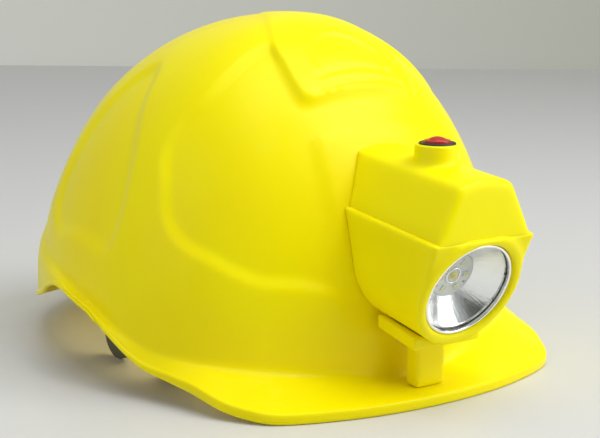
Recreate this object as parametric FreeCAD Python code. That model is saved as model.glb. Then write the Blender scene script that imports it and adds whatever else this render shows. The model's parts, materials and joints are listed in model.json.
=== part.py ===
import FreeCAD, Part
import os
from math import sin, cos, tan, pi, radians, degrees, sqrt, copysign
from FreeCAD import Vector as V

# Hard hat with an LED cap lamp built onto its brow.
# Frame: millimetres, +Z up, -Y is the front of the cap, +X the wearer's left.
# Origin: on the table, in the middle of the whole object's footprint.

# ---- driving dimensions ---------------------------------------------------
# dome of the cap: a superellipsoid, longer behind its centre than in front
DOME_HALF_W = 103.3
DOME_FRONT = 89.2
DOME_REAR = 145.6
DOME_HEIGHT = 142.1
DOME_BASE_Z = 15.4
PLAN_POWER = 2.22
RISE_POWER = 2.05
WALL = 2.4
SKIRT_FLARE = 4.0
LIP_ROUND = 1.2

# lamp: where its lens looks out, and its body
LENS_OUT = 128.2
LENS_Z = 52.1
LENS_TILT = 23.0
LENS_R = 21.9
COLLAR_WALL = 4.6
COLLAR_PROUD = 1.5
COLLAR_SWELL = 0.5
LAMP_WALL = 2.0
LAMP_FRONT = 137.3
LAMP_BACK = 66.0
JOINT_Z_FRONT = 75.5
JOINT_Z_BACK = 83.1
SHOULDER = 1.1
LOWER_HALF_BACK = 26.0
UPPER_FRONT_LOW = 25.2
UPPER_FRONT_TOP = 14.5
UPPER_BACK_LOW = 24.0
UPPER_BACK_TOP = 14.0
UPPER_TOP_FRONT = 97.0
UPPER_TOP_BACK = 104.0
CROWN_RISE = 2.6
SEAT_GAP = 0.1

# reflector and light source, measured back from the front of the trim ring
TRIM_T = 1.4
LENS_T = 1.4
SEAL_T = 0.8
REFLECTOR_FLANGE_T = 1.1
TRIM_W = 1.2
REFLECTOR_NECK_R = 10.6
REFLECTOR_T = 1.1
BOARD_BACK = 12.0
BOARD_T = 1.6
SINK_T = 5.0
LENS_CLEAR = 0.15

# switch on the lamp's top
SWITCH_OUT = 105.8
BOSS_TOP = 110.0
BOSS_LEDGE = 1.7
BEZEL_LIP = 1.4
BEZEL_T = 1.2
BARREL_WALL = 0.72
BARREL_BOTTOM = 96.0
BUTTON_R = 5.6
BUTTON_CLEAR = 0.08
BUTTON_PROUD = 0.5
BUTTON_DOME_R = 4.2
BUTTON_DOME_H = 1.4
BUTTON_TRAVEL = 1.6
SPRING_R = 3.4
SPRING_WIRE = 0.6

# battery, two short round cells one above the other
CELL_R = 8.25
CELL_L = 34.0
CELL_OUT = 96.8
CELL_MID_Z = 58.1
CELL_GAP = 0.3
CRADLE_T = 1.2
CONTACT_T = 0.4
DRIVER_HALF_W = 15.0

# charging jack on the wearer's left side of the lamp
JACK_R = 4.0
JACK_FLANGE_R = 5.2
JACK_FLANGE_T = 1.0
JACK_BORE_R = 1.25
JACK_OUT = 108.0
JACK_Z = 58.0
JACK_L = 9.0
LEAD_R = 0.6

# post and foot plate between the peak and the lamp
POST_HALF_W = 8.0
POST_FRONT = 105.8
POST_BACK = 97.8
POST_FOOT_Z = 6.2
FOOT_HALF_W = 18.0
FOOT_T = 5.6
FOOT_BACK = 91.0
FOOT_FRONT = 115.5
FOOT_Z_BACK = 31.0
FOOT_Z_FRONT = 25.8
FOOT_SCREW_X = 12.0
FOOT_SCREW_OUT = 100.5

# harness: a headband of two half circles joined by straight sides
BAND_R = 79.0
BAND_T = 1.6
BAND_FRONT_C = 7.0
BAND_REAR_C = 33.0
BAND_Z = (26.0, 52.0)
ARM_END = 26.0
STRAP_T = 1.4
STRAP_GAP = 0.4
STRAP_Z = (31.0, 47.0)
STRAP_END = 38.0
STRAP_TAIL = 13.0
SLOT_HALF = 10.5
SLOT_HALF_H = 5.7
GEAR_MODULE = 1.0
GEAR_TEETH = 8
KNOB_R = 13.0
KNOB_T = 9.0
CASE_HALF = 17.0
CASE_Z = (26.0, 52.0)
CROWN_Z = 122.0
WEB_W = 20.0
WEB_T = 1.2
KEY_Z = 54.0
KEY_T = 5.0
KEY_W = 16.0
KEY_ANGLE = 46.0
KEY_R = 80.0
KEY_REACH = 107.0
SOCKET_IN = 101.0
LOBE_R = 12.0
LOBE_BACK = 23.0
TAB_OUT = 20.0
TAB_HALF_TOP = 10.0
TAB_HALF_FOOT = 7.0
BROW_HALF = 62.0
PAD_T = 4.0
KNOB_SHAFT_R = 3.0

# screws, and the bosses that the cap's own screws drive into: (across, height)
SCREW_R = 1.25
SCREW_HEAD_R = 2.6
SCREW_HEAD_T = 1.8
SMALL_SCREW_R = 0.8
SMALL_HEAD_R = 1.7
SCREW_CLEAR = 0.05
BOSSES = [(-13.0, 93.0), (13.0, 93.0), (-22.2, 62.0), (22.2, 62.0)]
BOSS_OUT_R = 2.6
BOSS_OUT = 97.0

# ---- derived places -------------------------------------------------------
COLLAR_R = LENS_R + COLLAR_WALL
COLLAR_EDGE = COLLAR_R + COLLAR_SWELL
LOWER_HALF_FRONT = COLLAR_R + SHOULDER
REFLECTOR_MOUTH_R = LENS_R - TRIM_W
BARREL_R = BUTTON_R + BUTTON_CLEAR + BARREL_WALL
BEZEL_R = BARREL_R + BEZEL_LIP
BOSS_R = BEZEL_R + BOSS_LEDGE
CELL_Z = (CELL_MID_Z - CELL_R - CELL_GAP / 2, CELL_MID_Z + CELL_R + CELL_GAP / 2)
FRONT_REACH = LENS_OUT + COLLAR_EDGE * sin(radians(LENS_TILT)) + COLLAR_PROUD * cos(radians(LENS_TILT))
REAR_REACH = DOME_REAR + SKIRT_FLARE
Y0 = (FRONT_REACH - REAR_REACH) / 2.0
LENS_C = V(0, Y0 - LENS_OUT, LENS_Z)
SWITCH_Y = Y0 - SWITCH_OUT
CELL_Y = Y0 - CELL_OUT
REAR_C = V(0, Y0 + BAND_REAR_C, 0)
FRONT_C = V(0, Y0 + BAND_FRONT_C, 0)
CROWN_Y = Y0 + (BAND_FRONT_C + BAND_REAR_C) / 2.0
JACK_Y = Y0 - JACK_OUT
FOOT_SCREWS = [(x, Y0 - FOOT_SCREW_OUT) for x in (-FOOT_SCREW_X, FOOT_SCREW_X)]

os.makedirs("parts", exist_ok=True)
parts = {}


# ---- small helpers --------------------------------------------------------
def box(x0, x1, y0, y1, z0, z1):
    return Part.makeBox(x1 - x0, y1 - y0, z1 - z0, V(x0, y0, z0))


def rod(r, base, direction, length):
    return Part.makeCylinder(r, length, base, direction)


def tube(r_out, r_in, z0, z1):
    ring = rod(r_out, V(0, 0, z0), V(0, 0, 1), z1 - z0)
    return ring.cut(rod(r_in, V(0, 0, z0 - 1), V(0, 0, 1), z1 - z0 + 2))


def lathe(outline):
    """Solid turned about Z from a closed list of (radius, z) points."""
    pts = [V(r, 0, z) for r, z in outline]
    face = Part.Face(Part.makePolygon(pts + pts[:1]))
    return face.revolve(V(0, 0, 0), V(0, 0, 1), 360)


def group(solids):
    return Part.makeCompound(solids)


def rises(table):
    """Slope at each pair of a table: flat at the ends and wherever the values turn back."""
    steps = [(vb - va) / (xb - xa) for (xa, va), (xb, vb) in zip(table, table[1:])]
    inner = [2 * p * q / (p + q) if p * q > 0 else 0.0 for p, q in zip(steps, steps[1:])]
    return [0.0] + inner + [0.0]


def knots(table, x):
    """Smooth value at x from a table of (angle, value) pairs; it never overshoots a pair."""
    slopes = rises(table)
    for k, ((xa, va), (xb, vb)) in enumerate(zip(table, table[1:])):
        if x <= xb:
            t = (x - xa) / (xb - xa)
            ease = t * t * (3 - 2 * t)
            bend = slopes[k] * t * (1 - t) ** 2 - slopes[k + 1] * t * t * (1 - t)
            return va + (vb - va) * ease + (xb - xa) * bend
    return table[-1][1]


def on_lens(shape):
    """Place a piece modelled with +Z out of the lamp's mouth, origin at the trim ring's front."""
    shape = shape.copy()
    shape.rotate(V(0, 0, 0), V(1, 0, 0), 90 + LENS_TILT)
    shape.translate(LENS_C)
    return shape


# ---- the cap's outer form -------------------------------------------------
# The rim goes round the cap by an angle from the front: height of the crease where the
# dome turns into peak or skirt, height of the rim's lower edge, and how far it stands out.
CREASE_Z = [(0, 6.4), (18, 11), (36, 15), (50, 17.5), (66, 20), (81, 27), (92, 33.5), (102, 40),
            (113, 43.5), (126, 51), (150, 54), (180, 52)]
EDGE_Z = [(0, 0), (32, 0), (42, 2), (52, 6.8), (60, 9.6), (67, 11.8), (74, 16.8), (82, 24), (91, 31.5),
          (101, 35.5), (107, 32), (112, 26), (121, 20), (131, 14.5), (141, 10.5), (153, 7.5), (180, 5)]
PEAK_OUT = [(0, 26), (20, 26.2), (34, 27.2), (45, 20.5), (56, 9.8), (67, 5.8), (100, 5), (120, 3.2),
            (150, 3.4), (180, SKIRT_FLARE)]
LIP_H = [(0, 5), (50, 5), (64, 4), (76, 2.6), (180, 2.6)]


def power(v, p):
    return copysign(abs(v) ** p, v)


def plan_point(angle, scale_z, offset=0.0):
    """Point on the dome's outline seen from above, grown outward by offset."""
    a = radians(angle)
    half_w = DOME_HALF_W
    half_l = DOME_FRONT if cos(a) > 0 else DOME_REAR
    x = half_w * power(sin(a), 2 / PLAN_POWER)
    y = -half_l * power(cos(a), 2 / PLAN_POWER)
    nx = copysign(abs(x / half_w) ** (PLAN_POWER - 1) / half_w, x)
    ny = copysign(abs(y / half_l) ** (PLAN_POWER - 1) / half_l, y)
    n = sqrt(nx * nx + ny * ny)
    return x * scale_z + offset * nx / n, Y0 + y * scale_z + offset * ny / n


def dome_scale(z, height=DOME_HEIGHT):
    """How much narrower the dome is at height z than at its base."""
    rise = max(z - DOME_BASE_Z, 0) / height
    return max(1 - rise ** RISE_POWER, 0) ** (1 / RISE_POWER)


RING_POINTS = 48


def ring(place):
    """Closed smooth wire through the points that place(angle) gives, front first."""
    pts = []
    for i in range(RING_POINTS):
        angle = 360.0 * i / RING_POINTS
        side = 1 if angle <= 180 else -1
        x, y, z = place(angle if side > 0 else 360 - angle)
        pts.append(V(side * x, y, z))
    curve = Part.BSplineCurve()
    curve.interpolate(Points=pts, PeriodicFlag=True)
    return Part.Wire([curve.toShape()])


def dome_ring(step, steps, inset):
    """Ring on the dome, step 0 near the crease and step = steps at the top."""
    def place(angle):
        crease = knots(CREASE_Z, angle) - inset
        start = max(crease - DOME_BASE_Z, 0) / DOME_HEIGHT
        rise = start + (1 - start) * sin(pi / 2 * step / steps)
        z = DOME_BASE_Z + rise * (DOME_HEIGHT - inset)
        scale = max(1 - rise ** RISE_POWER, 0) ** (1 / RISE_POWER)
        x, y = plan_point(angle, scale, -inset * scale)
        return x, y, z
    return ring(place)


def rim_ring(out_of, height_of):
    def place(angle):
        x, y = plan_point(angle, 1.0, out_of(angle))
        return x, y, height_of(angle)
    return ring(place)


def crease_ring(inset):
    def place(angle):
        z = knots(CREASE_Z, angle) - inset
        x, y = plan_point(angle, dome_scale(z), -inset)
        return x, y, z
    return ring(place)


def peak_out(angle):
    return knots(PEAK_OUT, angle)


def edge_z(angle):
    return knots(EDGE_Z, angle)


def lip_top(angle):
    return edge_z(angle) + knots(LIP_H, angle)


DOME_STEPS = 14


def helmet_skin():
    """One closed skin: down the outside from the crown, round the rim and up the inside."""
    outside = [dome_ring(k, DOME_STEPS, 0.0) for k in range(DOME_STEPS - 1, 0, -1)]
    inside = [dome_ring(k, DOME_STEPS, WALL) for k in range(1, DOME_STEPS)]
    rim = [
        crease_ring(0.0),
        rim_ring(lambda a: peak_out(a) - LIP_ROUND, lip_top),
        rim_ring(peak_out, lambda a: lip_top(a) - LIP_ROUND),
        rim_ring(peak_out, edge_z),
        rim_ring(lambda a: peak_out(a) - WALL, edge_z),
        rim_ring(lambda a: peak_out(a) - WALL, lambda a: lip_top(a) - WALL),
        crease_ring(WALL),
    ]
    top = Part.Vertex(V(0, Y0, DOME_BASE_Z + DOME_HEIGHT))
    under = Part.Vertex(V(0, Y0, DOME_BASE_Z + DOME_HEIGHT - WALL))
    return Part.makeLoft([top] + outside + rim + inside + [under], True, True)


def dome_solid(offset):
    """Filled dome, grown outward by offset, for trimming what seats on it."""
    wires = []
    for k in range(0, 15):
        rise = sin(radians(88.0) * k / 14)
        z = DOME_BASE_Z + rise * (DOME_HEIGHT + offset)
        scale = (1 - rise ** RISE_POWER) ** (1 / RISE_POWER)

        def place(angle, z=z, scale=scale):
            x, y = plan_point(angle, scale, offset * scale)
            return x, y, z
        wires.append(ring(place))

    def foot(angle):
        x, y = plan_point(angle, 1.0, offset)
        return x, y, -20.0
    return Part.makeLoft([ring(foot)] + wires, True, True)


# ---- lamp body ------------------------------------------------------------
def joint_z(y):
    """Height of the seam between the lamp's two shells."""
    y_front, y_back = Y0 - LAMP_FRONT, Y0 - LAMP_BACK
    return JOINT_Z_FRONT + (JOINT_Z_BACK - JOINT_Z_FRONT) * (y - y_front) / (y_back - y_front)


def on_lens_plane(x, up, out):
    """Point in the tilted plane of the lamp's mouth."""
    t = radians(LENS_TILT)
    return V(x, LENS_C.y - up * sin(t) - out * cos(t), LENS_C.z + up * cos(t) - out * sin(t))


def lamp_wire(corners, low_arc):
    """Shield outline: straight top and sides, two arcs meeting at the bottom."""
    left, right, hip_l, hip_r = corners
    side_r, bottom, side_l = low_arc
    edges = [
        Part.LineSegment(left, right).toShape(),
        Part.LineSegment(right, hip_r).toShape(),
        Part.Arc(hip_r, side_r, bottom).toShape(),
        Part.Arc(bottom, side_l, hip_l).toShape(),
        Part.LineSegment(hip_l, left).toShape(),
    ]
    return Part.Wire(edges)


def lower_form(inset, out, lift):
    """Lower lamp body, from the dome to the tilted mouth, shrunk by inset all round."""
    r = COLLAR_R - inset
    half = LOWER_HALF_FRONT - inset
    top = (joint_z(LENS_C.y) - LENS_C.z) / cos(radians(LENS_TILT)) - 1.6 + lift
    hip = 5.0
    c45 = sqrt(0.5) * r
    hip_x = sqrt(r * r - hip * hip)
    front = lamp_wire(
        [on_lens_plane(-half, top, out), on_lens_plane(half, top, out),
         on_lens_plane(-hip_x, hip, out), on_lens_plane(hip_x, hip, out)],
        [on_lens_plane(c45, -c45, out), on_lens_plane(0, -r, out), on_lens_plane(-c45, -c45, out)])
    y = Y0 - LAMP_BACK
    w = LOWER_HALF_BACK - inset
    back = lamp_wire(
        [V(-w, y, JOINT_Z_BACK + lift), V(w, y, JOINT_Z_BACK + lift), V(-w, y, 60), V(w, y, 60)],
        [V(0.8 * w, y, 46 + inset), V(0, y, 38 + inset), V(-0.8 * w, y, 46 + inset)])
    return Part.makeLoft([back, front], True, True)


def upper_form(inset, drop):
    """Upper lamp body: leaning sides under an arched roof; drop lowers its open bottom."""
    def wire(y, low, top, z_low, z_top):
        lean = (low - top) / (z_top - z_low)
        edges = [
            Part.LineSegment(V(-low - lean * drop, y, z_low - drop), V(low + lean * drop, y, z_low - drop)),
            Part.LineSegment(V(low + lean * drop, y, z_low - drop), V(top, y, z_top)),
            Part.Arc(V(top, y, z_top), V(0, y, z_top + CROWN_RISE), V(-top, y, z_top)),
            Part.LineSegment(V(-top, y, z_top), V(-low - lean * drop, y, z_low - drop)),
        ]
        return Part.Wire([e.toShape() for e in edges])
    y_front, y_back = Y0 - LAMP_FRONT + inset, Y0 - LAMP_BACK
    front = wire(y_front, UPPER_FRONT_LOW - inset, UPPER_FRONT_TOP - inset,
                 joint_z(y_front), UPPER_TOP_FRONT - inset)
    back = wire(y_back, UPPER_BACK_LOW - inset, UPPER_BACK_TOP - inset,
                joint_z(y_back), UPPER_TOP_BACK - inset)
    return Part.makeLoft([back, front], True, True)


def above_joint(lift):
    """Everything in the lamp's space above the seam, raised by lift."""
    y_front, y_back = Y0 - LAMP_FRONT - 30, Y0 - LAMP_BACK + 10
    pts = [V(-60, y_front, joint_z(y_front) + lift), V(-60, y_back, joint_z(y_back) + lift),
           V(-60, y_back, 200), V(-60, y_front, 200)]
    return Part.Face(Part.makePolygon(pts + pts[:1])).extrude(V(120, 0, 0))


dome_seat = dome_solid(SEAT_GAP)


def boss_solids(places):
    return [rod(BOSS_OUT_R, V(x, Y0 - LAMP_BACK, z), V(0, -1, 0), BOSS_OUT - LAMP_BACK) for x, z in places]


def boss_holes():
    return [rod(SCREW_R + SCREW_CLEAR, V(x, Y0 - 50, z), V(0, -1, 0), BOSS_OUT - 50 - 1.5) for x, z in BOSSES]


def lens_seat():
    """Round pocket that the trim ring, lens, seal and reflector flange drop into."""
    depth = TRIM_T + LENS_T + SEAL_T + REFLECTOR_FLANGE_T
    return on_lens(rod(LENS_R + LENS_CLEAR, V(0, 0, -depth), V(0, 0, 1), depth + 10))


def make_upper_housing():
    body = upper_form(0, 0)
    boss = rod(BOSS_R, V(0, SWITCH_Y, joint_z(SWITCH_Y)), V(0, 0, 1), BOSS_TOP - joint_z(SWITCH_Y))
    body = body.fuse(boss)
    hollow = upper_form(LAMP_WALL, 8)
    neck = rod(BARREL_R + 2.0, V(0, SWITCH_Y, UPPER_TOP_BACK - 8), V(0, 0, 1), 6)
    hollow = hollow.cut(neck)
    body = body.cut(hollow)
    body = body.fuse(boss_solids(BOSSES[:2]))
    body = body.common(above_joint(0.0))
    bore = rod(BARREL_R + SCREW_CLEAR, V(0, SWITCH_Y, 60), V(0, 0, 1), BOSS_TOP)
    return body.cut(group([bore, lens_seat()] + boss_holes()).Solids).cut(dome_seat)


def make_lower_housing():
    body = lower_form(0, 0, 0)
    collar = on_lens(rod(COLLAR_EDGE, V(0, 0, -4), V(0, 0, 1), 4 + COLLAR_PROUD))
    body = body.fuse(collar)
    depth = TRIM_T + LENS_T + SEAL_T + REFLECTOR_FLANGE_T
    hollow = lower_form(LAMP_WALL, -depth - 2.0, -LAMP_WALL).cut(above_joint(-LAMP_WALL))
    body = body.cut(hollow)
    body = body.fuse(boss_solids(BOSSES[2:]))
    body = body.cut(above_joint(0.0))
    throat = on_lens(rod(LENS_R - 1.0, V(0, 0, -16), V(0, 0, 1), 16))
    window_half = UPPER_BACK_LOW - LAMP_WALL - 1.0
    window = box(-window_half, window_half, Y0 - LAMP_FRONT + 7, Y0 - LAMP_BACK, 70, 100)
    jack = rod(JACK_R, V(0, JACK_Y, JACK_Z), V(1, 0, 0), 60)
    foot_holes = [rod(SCREW_R + SCREW_CLEAR, V(x, y, 20), V(0, 0, 1), 24) for x, y in FOOT_SCREWS]
    body = body.cut([lens_seat(), throat, window, jack] + foot_holes + boss_holes())
    return body.cut(dome_seat)


parts["lamp_upper_housing"] = make_upper_housing()
parts["lamp_lower_housing"] = make_lower_housing()


# ---- cap shell ------------------------------------------------------------
def make_shell():
    skin = helmet_skin()
    holes = [rod(SCREW_R + 0.4, V(x, Y0 - 50, z), V(0, -1, 0), 60) for x, z in BOSSES]
    lead_hole = rod(SCREW_R + 0.4, V(0, Y0 - (POST_FRONT + POST_BACK) / 2, -5), V(0, 0, 1), POST_FOOT_Z + 5)
    return skin.cut(group(holes + [lead_hole]).Solids)


parts["helmet_shell"] = make_shell()


# ---- post and foot plate between peak and lamp ----------------------------
def foot_z(y):
    """Underside of the sloping foot plate."""
    t = (Y0 - FOOT_BACK - y) / (FOOT_FRONT - FOOT_BACK)
    return FOOT_Z_BACK + (FOOT_Z_FRONT - FOOT_Z_BACK) * t


def foot_slab(half_w, y_back, y_front, z_low, z_high):
    """Slab between two heights measured from the foot plate's underside."""
    pts = [V(-half_w, y_back, foot_z(y_back) + z_low), V(-half_w, y_front, foot_z(y_front) + z_low),
           V(-half_w, y_front, foot_z(y_front) + z_high), V(-half_w, y_back, foot_z(y_back) + z_high)]
    return Part.Face(Part.makePolygon(pts + pts[:1])).extrude(V(2 * half_w, 0, 0))


def make_foot_plate():
    plate = foot_slab(FOOT_HALF_W, Y0 - FOOT_BACK, Y0 - FOOT_FRONT, 0, FOOT_T + 8)
    plate = plate.cut(lower_form(-SEAT_GAP, COLLAR_PROUD, 0)).cut(dome_seat)
    plate = plate.common(foot_slab(FOOT_HALF_W, Y0 - FOOT_BACK, Y0 - FOOT_FRONT, 0, FOOT_T))
    plate = max(plate.Solids, key=lambda s: s.Volume)
    holes = [rod(SCREW_R + SCREW_CLEAR, V(x, y, 10), V(0, 0, 1), 40) for x, y in FOOT_SCREWS]
    post_hole = rod(SCREW_R + SCREW_CLEAR, V(0, Y0 - (POST_FRONT + POST_BACK) / 2, 10), V(0, 0, 1), 40)
    return plate.cut(group(holes + [post_hole]).Solids)


def make_post():
    y_mid = Y0 - (POST_FRONT + POST_BACK) / 2
    post = box(-POST_HALF_W, POST_HALF_W, Y0 - POST_FRONT, Y0 - POST_BACK, POST_FOOT_Z - 3, 40)
    post = post.cut(foot_slab(POST_HALF_W + 2, Y0 - FOOT_BACK, Y0 - FOOT_FRONT, 0, 40))
    post = post.cut(lower_form(-SEAT_GAP, COLLAR_PROUD, 0))
    corners = [e for e in post.Edges if abs(e.tangentAt(e.FirstParameter).z) > 0.99]
    post = post.makeFillet(1.5, corners)
    post = post.cut([rod(SCREW_R + SCREW_CLEAR, V(0, y_mid, 0), V(0, 0, 1), 18), parts["helmet_shell"]])
    return max(post.Solids, key=lambda s: s.Volume)


def pan_screw(tip, direction, length, r=SCREW_R, head_r=SCREW_HEAD_R, head_t=SCREW_HEAD_T):
    """Self-tapping screw: shank from tip back along -direction to a pan head with a round recess."""
    d = V(direction)
    shank = rod(r, tip - d * length, d, length)
    head = rod(head_r, tip - d * (length + head_t), d, head_t)
    recess = rod(0.35 * head_r, tip - d * (length + head_t), d, head_t / 2)
    return shank.fuse(head).cut(recess)


parts["foot_plate"] = make_foot_plate()
parts["support_post"] = make_post()
parts["post_screw"] = pan_screw(V(0, Y0 - (POST_FRONT + POST_BACK) / 2, 14), V(0, 0, 1), 11.2)
parts["foot_screws"] = group([pan_screw(V(x, y, foot_z(y) + 10), V(0, 0, 1), 10.6) for x, y in FOOT_SCREWS])


def inner_wall_y(x, z):
    """Where the inside of the cap's brow wall lies, at a given x and height."""
    lo, hi = 0.0, DOME_FRONT
    for _ in range(40):
        mid = (lo + hi) / 2
        across = (abs(x) / (DOME_HALF_W - WALL)) ** PLAN_POWER + (mid / (DOME_FRONT - WALL)) ** PLAN_POWER
        up = (max(z - DOME_BASE_Z, 0) / (DOME_HEIGHT - WALL)) ** RISE_POWER
        inside = across ** (RISE_POWER / PLAN_POWER) + up < 1
        lo, hi = (mid, hi) if inside else (lo, mid)
    return Y0 - lo


def mount_screw(x, z):
    seat_y = inner_wall_y(x, z + SCREW_HEAD_R) + 0.2
    tip = V(x, Y0 - BOSS_OUT + 3.0, z)
    return pan_screw(tip, V(0, -1, 0), seat_y - tip.y)


parts["mount_screws"] = group([mount_screw(x, z) for x, z in BOSSES])


# ---- light: trim ring, lens, seal, reflector, board, heat sink -------------
Z_LENS = -TRIM_T
Z_SEAL = Z_LENS - LENS_T
Z_FLANGE = Z_SEAL - SEAL_T
BOARD_R = REFLECTOR_NECK_R - 0.2

parts["trim_ring"] = on_lens(tube(LENS_R, REFLECTOR_MOUTH_R, Z_LENS, 0))
parts["lens"] = on_lens(rod(LENS_R, V(0, 0, Z_SEAL), V(0, 0, 1), LENS_T))
parts["lens_seal"] = on_lens(tube(LENS_R, REFLECTOR_MOUTH_R, Z_FLANGE, Z_SEAL))


def make_reflector():
    """Conical bowl with a slight curve, a flat flange and a short neck behind."""
    steps = 6
    bowl = []
    for k in range(steps + 1):
        t = k / steps
        r = REFLECTOR_MOUTH_R + (REFLECTOR_NECK_R - REFLECTOR_MOUTH_R) * (0.8 * t + 0.2 * t * t)
        bowl.append((r, Z_FLANGE + (-BOARD_BACK - Z_FLANGE) * t))
    z_under = Z_FLANGE - REFLECTOR_FLANGE_T
    back = [(r + REFLECTOR_T, min(z, z_under)) for r, z in bowl if z < z_under]
    neck_end = -BOARD_BACK - BOARD_T - 1.0
    outline = bowl + [(REFLECTOR_NECK_R, neck_end), (REFLECTOR_NECK_R + REFLECTOR_T, neck_end)]
    outline += back[::-1] + [(back[0][0], z_under), (LENS_R, z_under), (LENS_R, Z_FLANGE)]
    return lathe(outline)


def make_board():
    board = rod(BOARD_R, V(0, 0, -BOARD_BACK - BOARD_T), V(0, 0, 1), BOARD_T)
    for k in range(3):
        a = radians(90 + 120 * k)
        board = board.cut(rod(0.7, V(8.6 * cos(a), 8.6 * sin(a), -BOARD_BACK - 4), V(0, 0, 1), 6))
    return board


SIDE_LEDS = 6
SIDE_LED_R = 6.9


def make_side_leds():
    leds = []
    for k in range(SIDE_LEDS):
        chip = box(-1.4, 1.4, -1.0, 1.0, -BOARD_BACK, -BOARD_BACK + 0.8)
        chip.translate(V(SIDE_LED_R, 0, 0))
        chip.rotate(V(0, 0, 0), V(0, 0, 1), 360.0 * k / SIDE_LEDS)
        leds.append(chip)
    return group(leds)


def make_main_led():
    base = box(-1.75, 1.75, -1.75, 1.75, -BOARD_BACK, -BOARD_BACK + 0.9)
    bead = Part.makeSphere(1.3, V(0, 0, -BOARD_BACK + 0.7))
    return base.fuse(bead.common(box(-2, 2, -2, 2, -BOARD_BACK, 0)))


def make_sink():
    z1 = -BOARD_BACK - BOARD_T
    plate = rod(BOARD_R, V(0, 0, z1 - 2), V(0, 0, 1), 2)
    fins = [box(-0.6 + x, 0.6 + x, -7, 7, z1 - SINK_T, z1 - 1) for x in (-6.0, -3.0, 0.0, 3.0, 6.0)]
    return plate.fuse(fins)


parts["reflector"] = on_lens(make_reflector())
parts["led_board"] = on_lens(make_board())
parts["main_led"] = on_lens(make_main_led())
parts["led_ring"] = on_lens(tube(3.9, 3.2, -BOARD_BACK, -BOARD_BACK + 0.7))
parts["side_leds"] = on_lens(make_side_leds())
parts["heat_sink"] = on_lens(make_sink())


# ---- push switch ----------------------------------------------------------
BEZEL_TOP = BOSS_TOP + BEZEL_T
BORE_R = BUTTON_R + BUTTON_CLEAR
BUTTON_BASE = BOSS_TOP - 6.0
SWITCH_DECK = BARREL_BOTTOM + 1.5


def at_switch(shape):
    shape = shape.copy()
    shape.translate(V(0, SWITCH_Y, 0))
    return shape


def make_bezel():
    flange = rod(BEZEL_R, V(0, 0, BOSS_TOP), V(0, 0, 1), BEZEL_T)
    barrel = rod(BARREL_R, V(0, 0, BARREL_BOTTOM), V(0, 0, 1), BOSS_TOP - BARREL_BOTTOM)
    bore = rod(BORE_R, V(0, 0, SWITCH_DECK), V(0, 0, 1), 30)
    rim = max(flange.Edges, key=lambda e: e.BoundBox.ZMin + e.BoundBox.XLength / 100)
    return flange.makeFillet(0.5, [rim]).fuse(barrel).cut(bore)


def make_button():
    """Red cap with a raised dome, hollow below for its spring."""
    z_top = BEZEL_TOP + BUTTON_PROUD
    sphere_r = (BUTTON_DOME_R ** 2 + BUTTON_DOME_H ** 2) / (2 * BUTTON_DOME_H)
    outline = [(0, z_top + BUTTON_DOME_H)]
    steps = 6
    for k in range(1, steps + 1):
        r = BUTTON_DOME_R * k / steps
        outline.append((r, z_top + BUTTON_DOME_H - sphere_r + sqrt(sphere_r ** 2 - r * r)))
    outline += [(BUTTON_R - 0.3, z_top), (BUTTON_R, z_top - 0.3), (BUTTON_R, BUTTON_BASE),
                (SPRING_R + 0.8, BUTTON_BASE), (SPRING_R + 0.8, BUTTON_BASE + 3), (0, BUTTON_BASE + 3)]
    return lathe(outline)


def make_spring():
    """Compression spring between the switch deck and the button's hollow, ends closed flat."""
    free = BUTTON_BASE + 3 - SWITCH_DECK - SPRING_WIRE - 0.1
    helix = Part.makeHelix(free / 4.5, free, SPRING_R)
    helix.translate(V(0, 0, SWITCH_DECK + SPRING_WIRE / 2 + 0.05))
    start = helix.Edges[0].valueAt(helix.Edges[0].FirstParameter)
    section = Part.Wire([Part.Circle(start, V(0, 1, 0), SPRING_WIRE / 2).toShape()])
    return Part.Wire(helix).makePipeShell([section], True, True)


parts["switch_bezel"] = at_switch(make_bezel())
parts["switch_button"] = at_switch(make_button())
parts["switch_spring"] = at_switch(make_spring())
parts["switch_body"] = at_switch(rod(BARREL_R - 0.4, V(0, 0, BARREL_BOTTOM - 9), V(0, 0, 1), 9))
parts["switch_terminals"] = at_switch(group([
    box(x - 0.4, x + 0.4, -1.4, 1.4, BARREL_BOTTOM - 13, BARREL_BOTTOM - 9) for x in (-3.0, 3.0)]))


# ---- battery, driver board, charging jack, leads ---------------------------
CELL_END = CELL_L / 2
CRADLE_IN = CELL_END + CONTACT_T + 0.2
CRADLE_Z = (CELL_Z[0] - CELL_R + 5, CELL_Z[1] + CELL_R)
BOARD_Z = CRADLE_Z[1] + 2.0
DRIVER_Y = (CELL_Y - 9.0, CELL_Y + 8.0)

parts["battery_cells"] = group([rod(CELL_R, V(-CELL_END, CELL_Y, z), V(1, 0, 0), CELL_L) for z in CELL_Z])


def make_cradle():
    """Two end plates joined by a web behind the cells."""
    deep = CELL_R - 2.0
    ends = [box(x, x + CRADLE_T, CELL_Y - deep, CELL_Y + deep, *CRADLE_Z)
            for x in (-CRADLE_IN - CRADLE_T, CRADLE_IN)]
    mid_z = sum(CELL_Z) / 2
    web = box(-CRADLE_IN, CRADLE_IN, CELL_Y + deep - 1.2, CELL_Y + deep, mid_z - 3, mid_z + 3)
    cells = [rod(CELL_R + 0.2, V(-CELL_END - 1, CELL_Y, z), V(1, 0, 0), CELL_L + 2) for z in CELL_Z]
    return ends[0].fuse([ends[1], web.cut(group(cells).Solids)])


def make_contacts():
    plates = []
    for side in (-1, 1):
        for z in CELL_Z:
            x = side * (CELL_END + 0.1)
            plates.append(box(min(x, x + side * CONTACT_T), max(x, x + side * CONTACT_T),
                              CELL_Y - 3, CELL_Y + 3, z - 3, z + 3))
    return group(plates)


def make_chips():
    top = BOARD_Z + BOARD_T
    return group([box(-9, -4, CELL_Y - 5, CELL_Y, top, top + 1.5),
                  box(2, 6, CELL_Y - 4, CELL_Y, top, top + 1.2),
                  rod(2.0, V(9.5, CELL_Y - 2, top), V(0, 0, 1), 2.2)])


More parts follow.
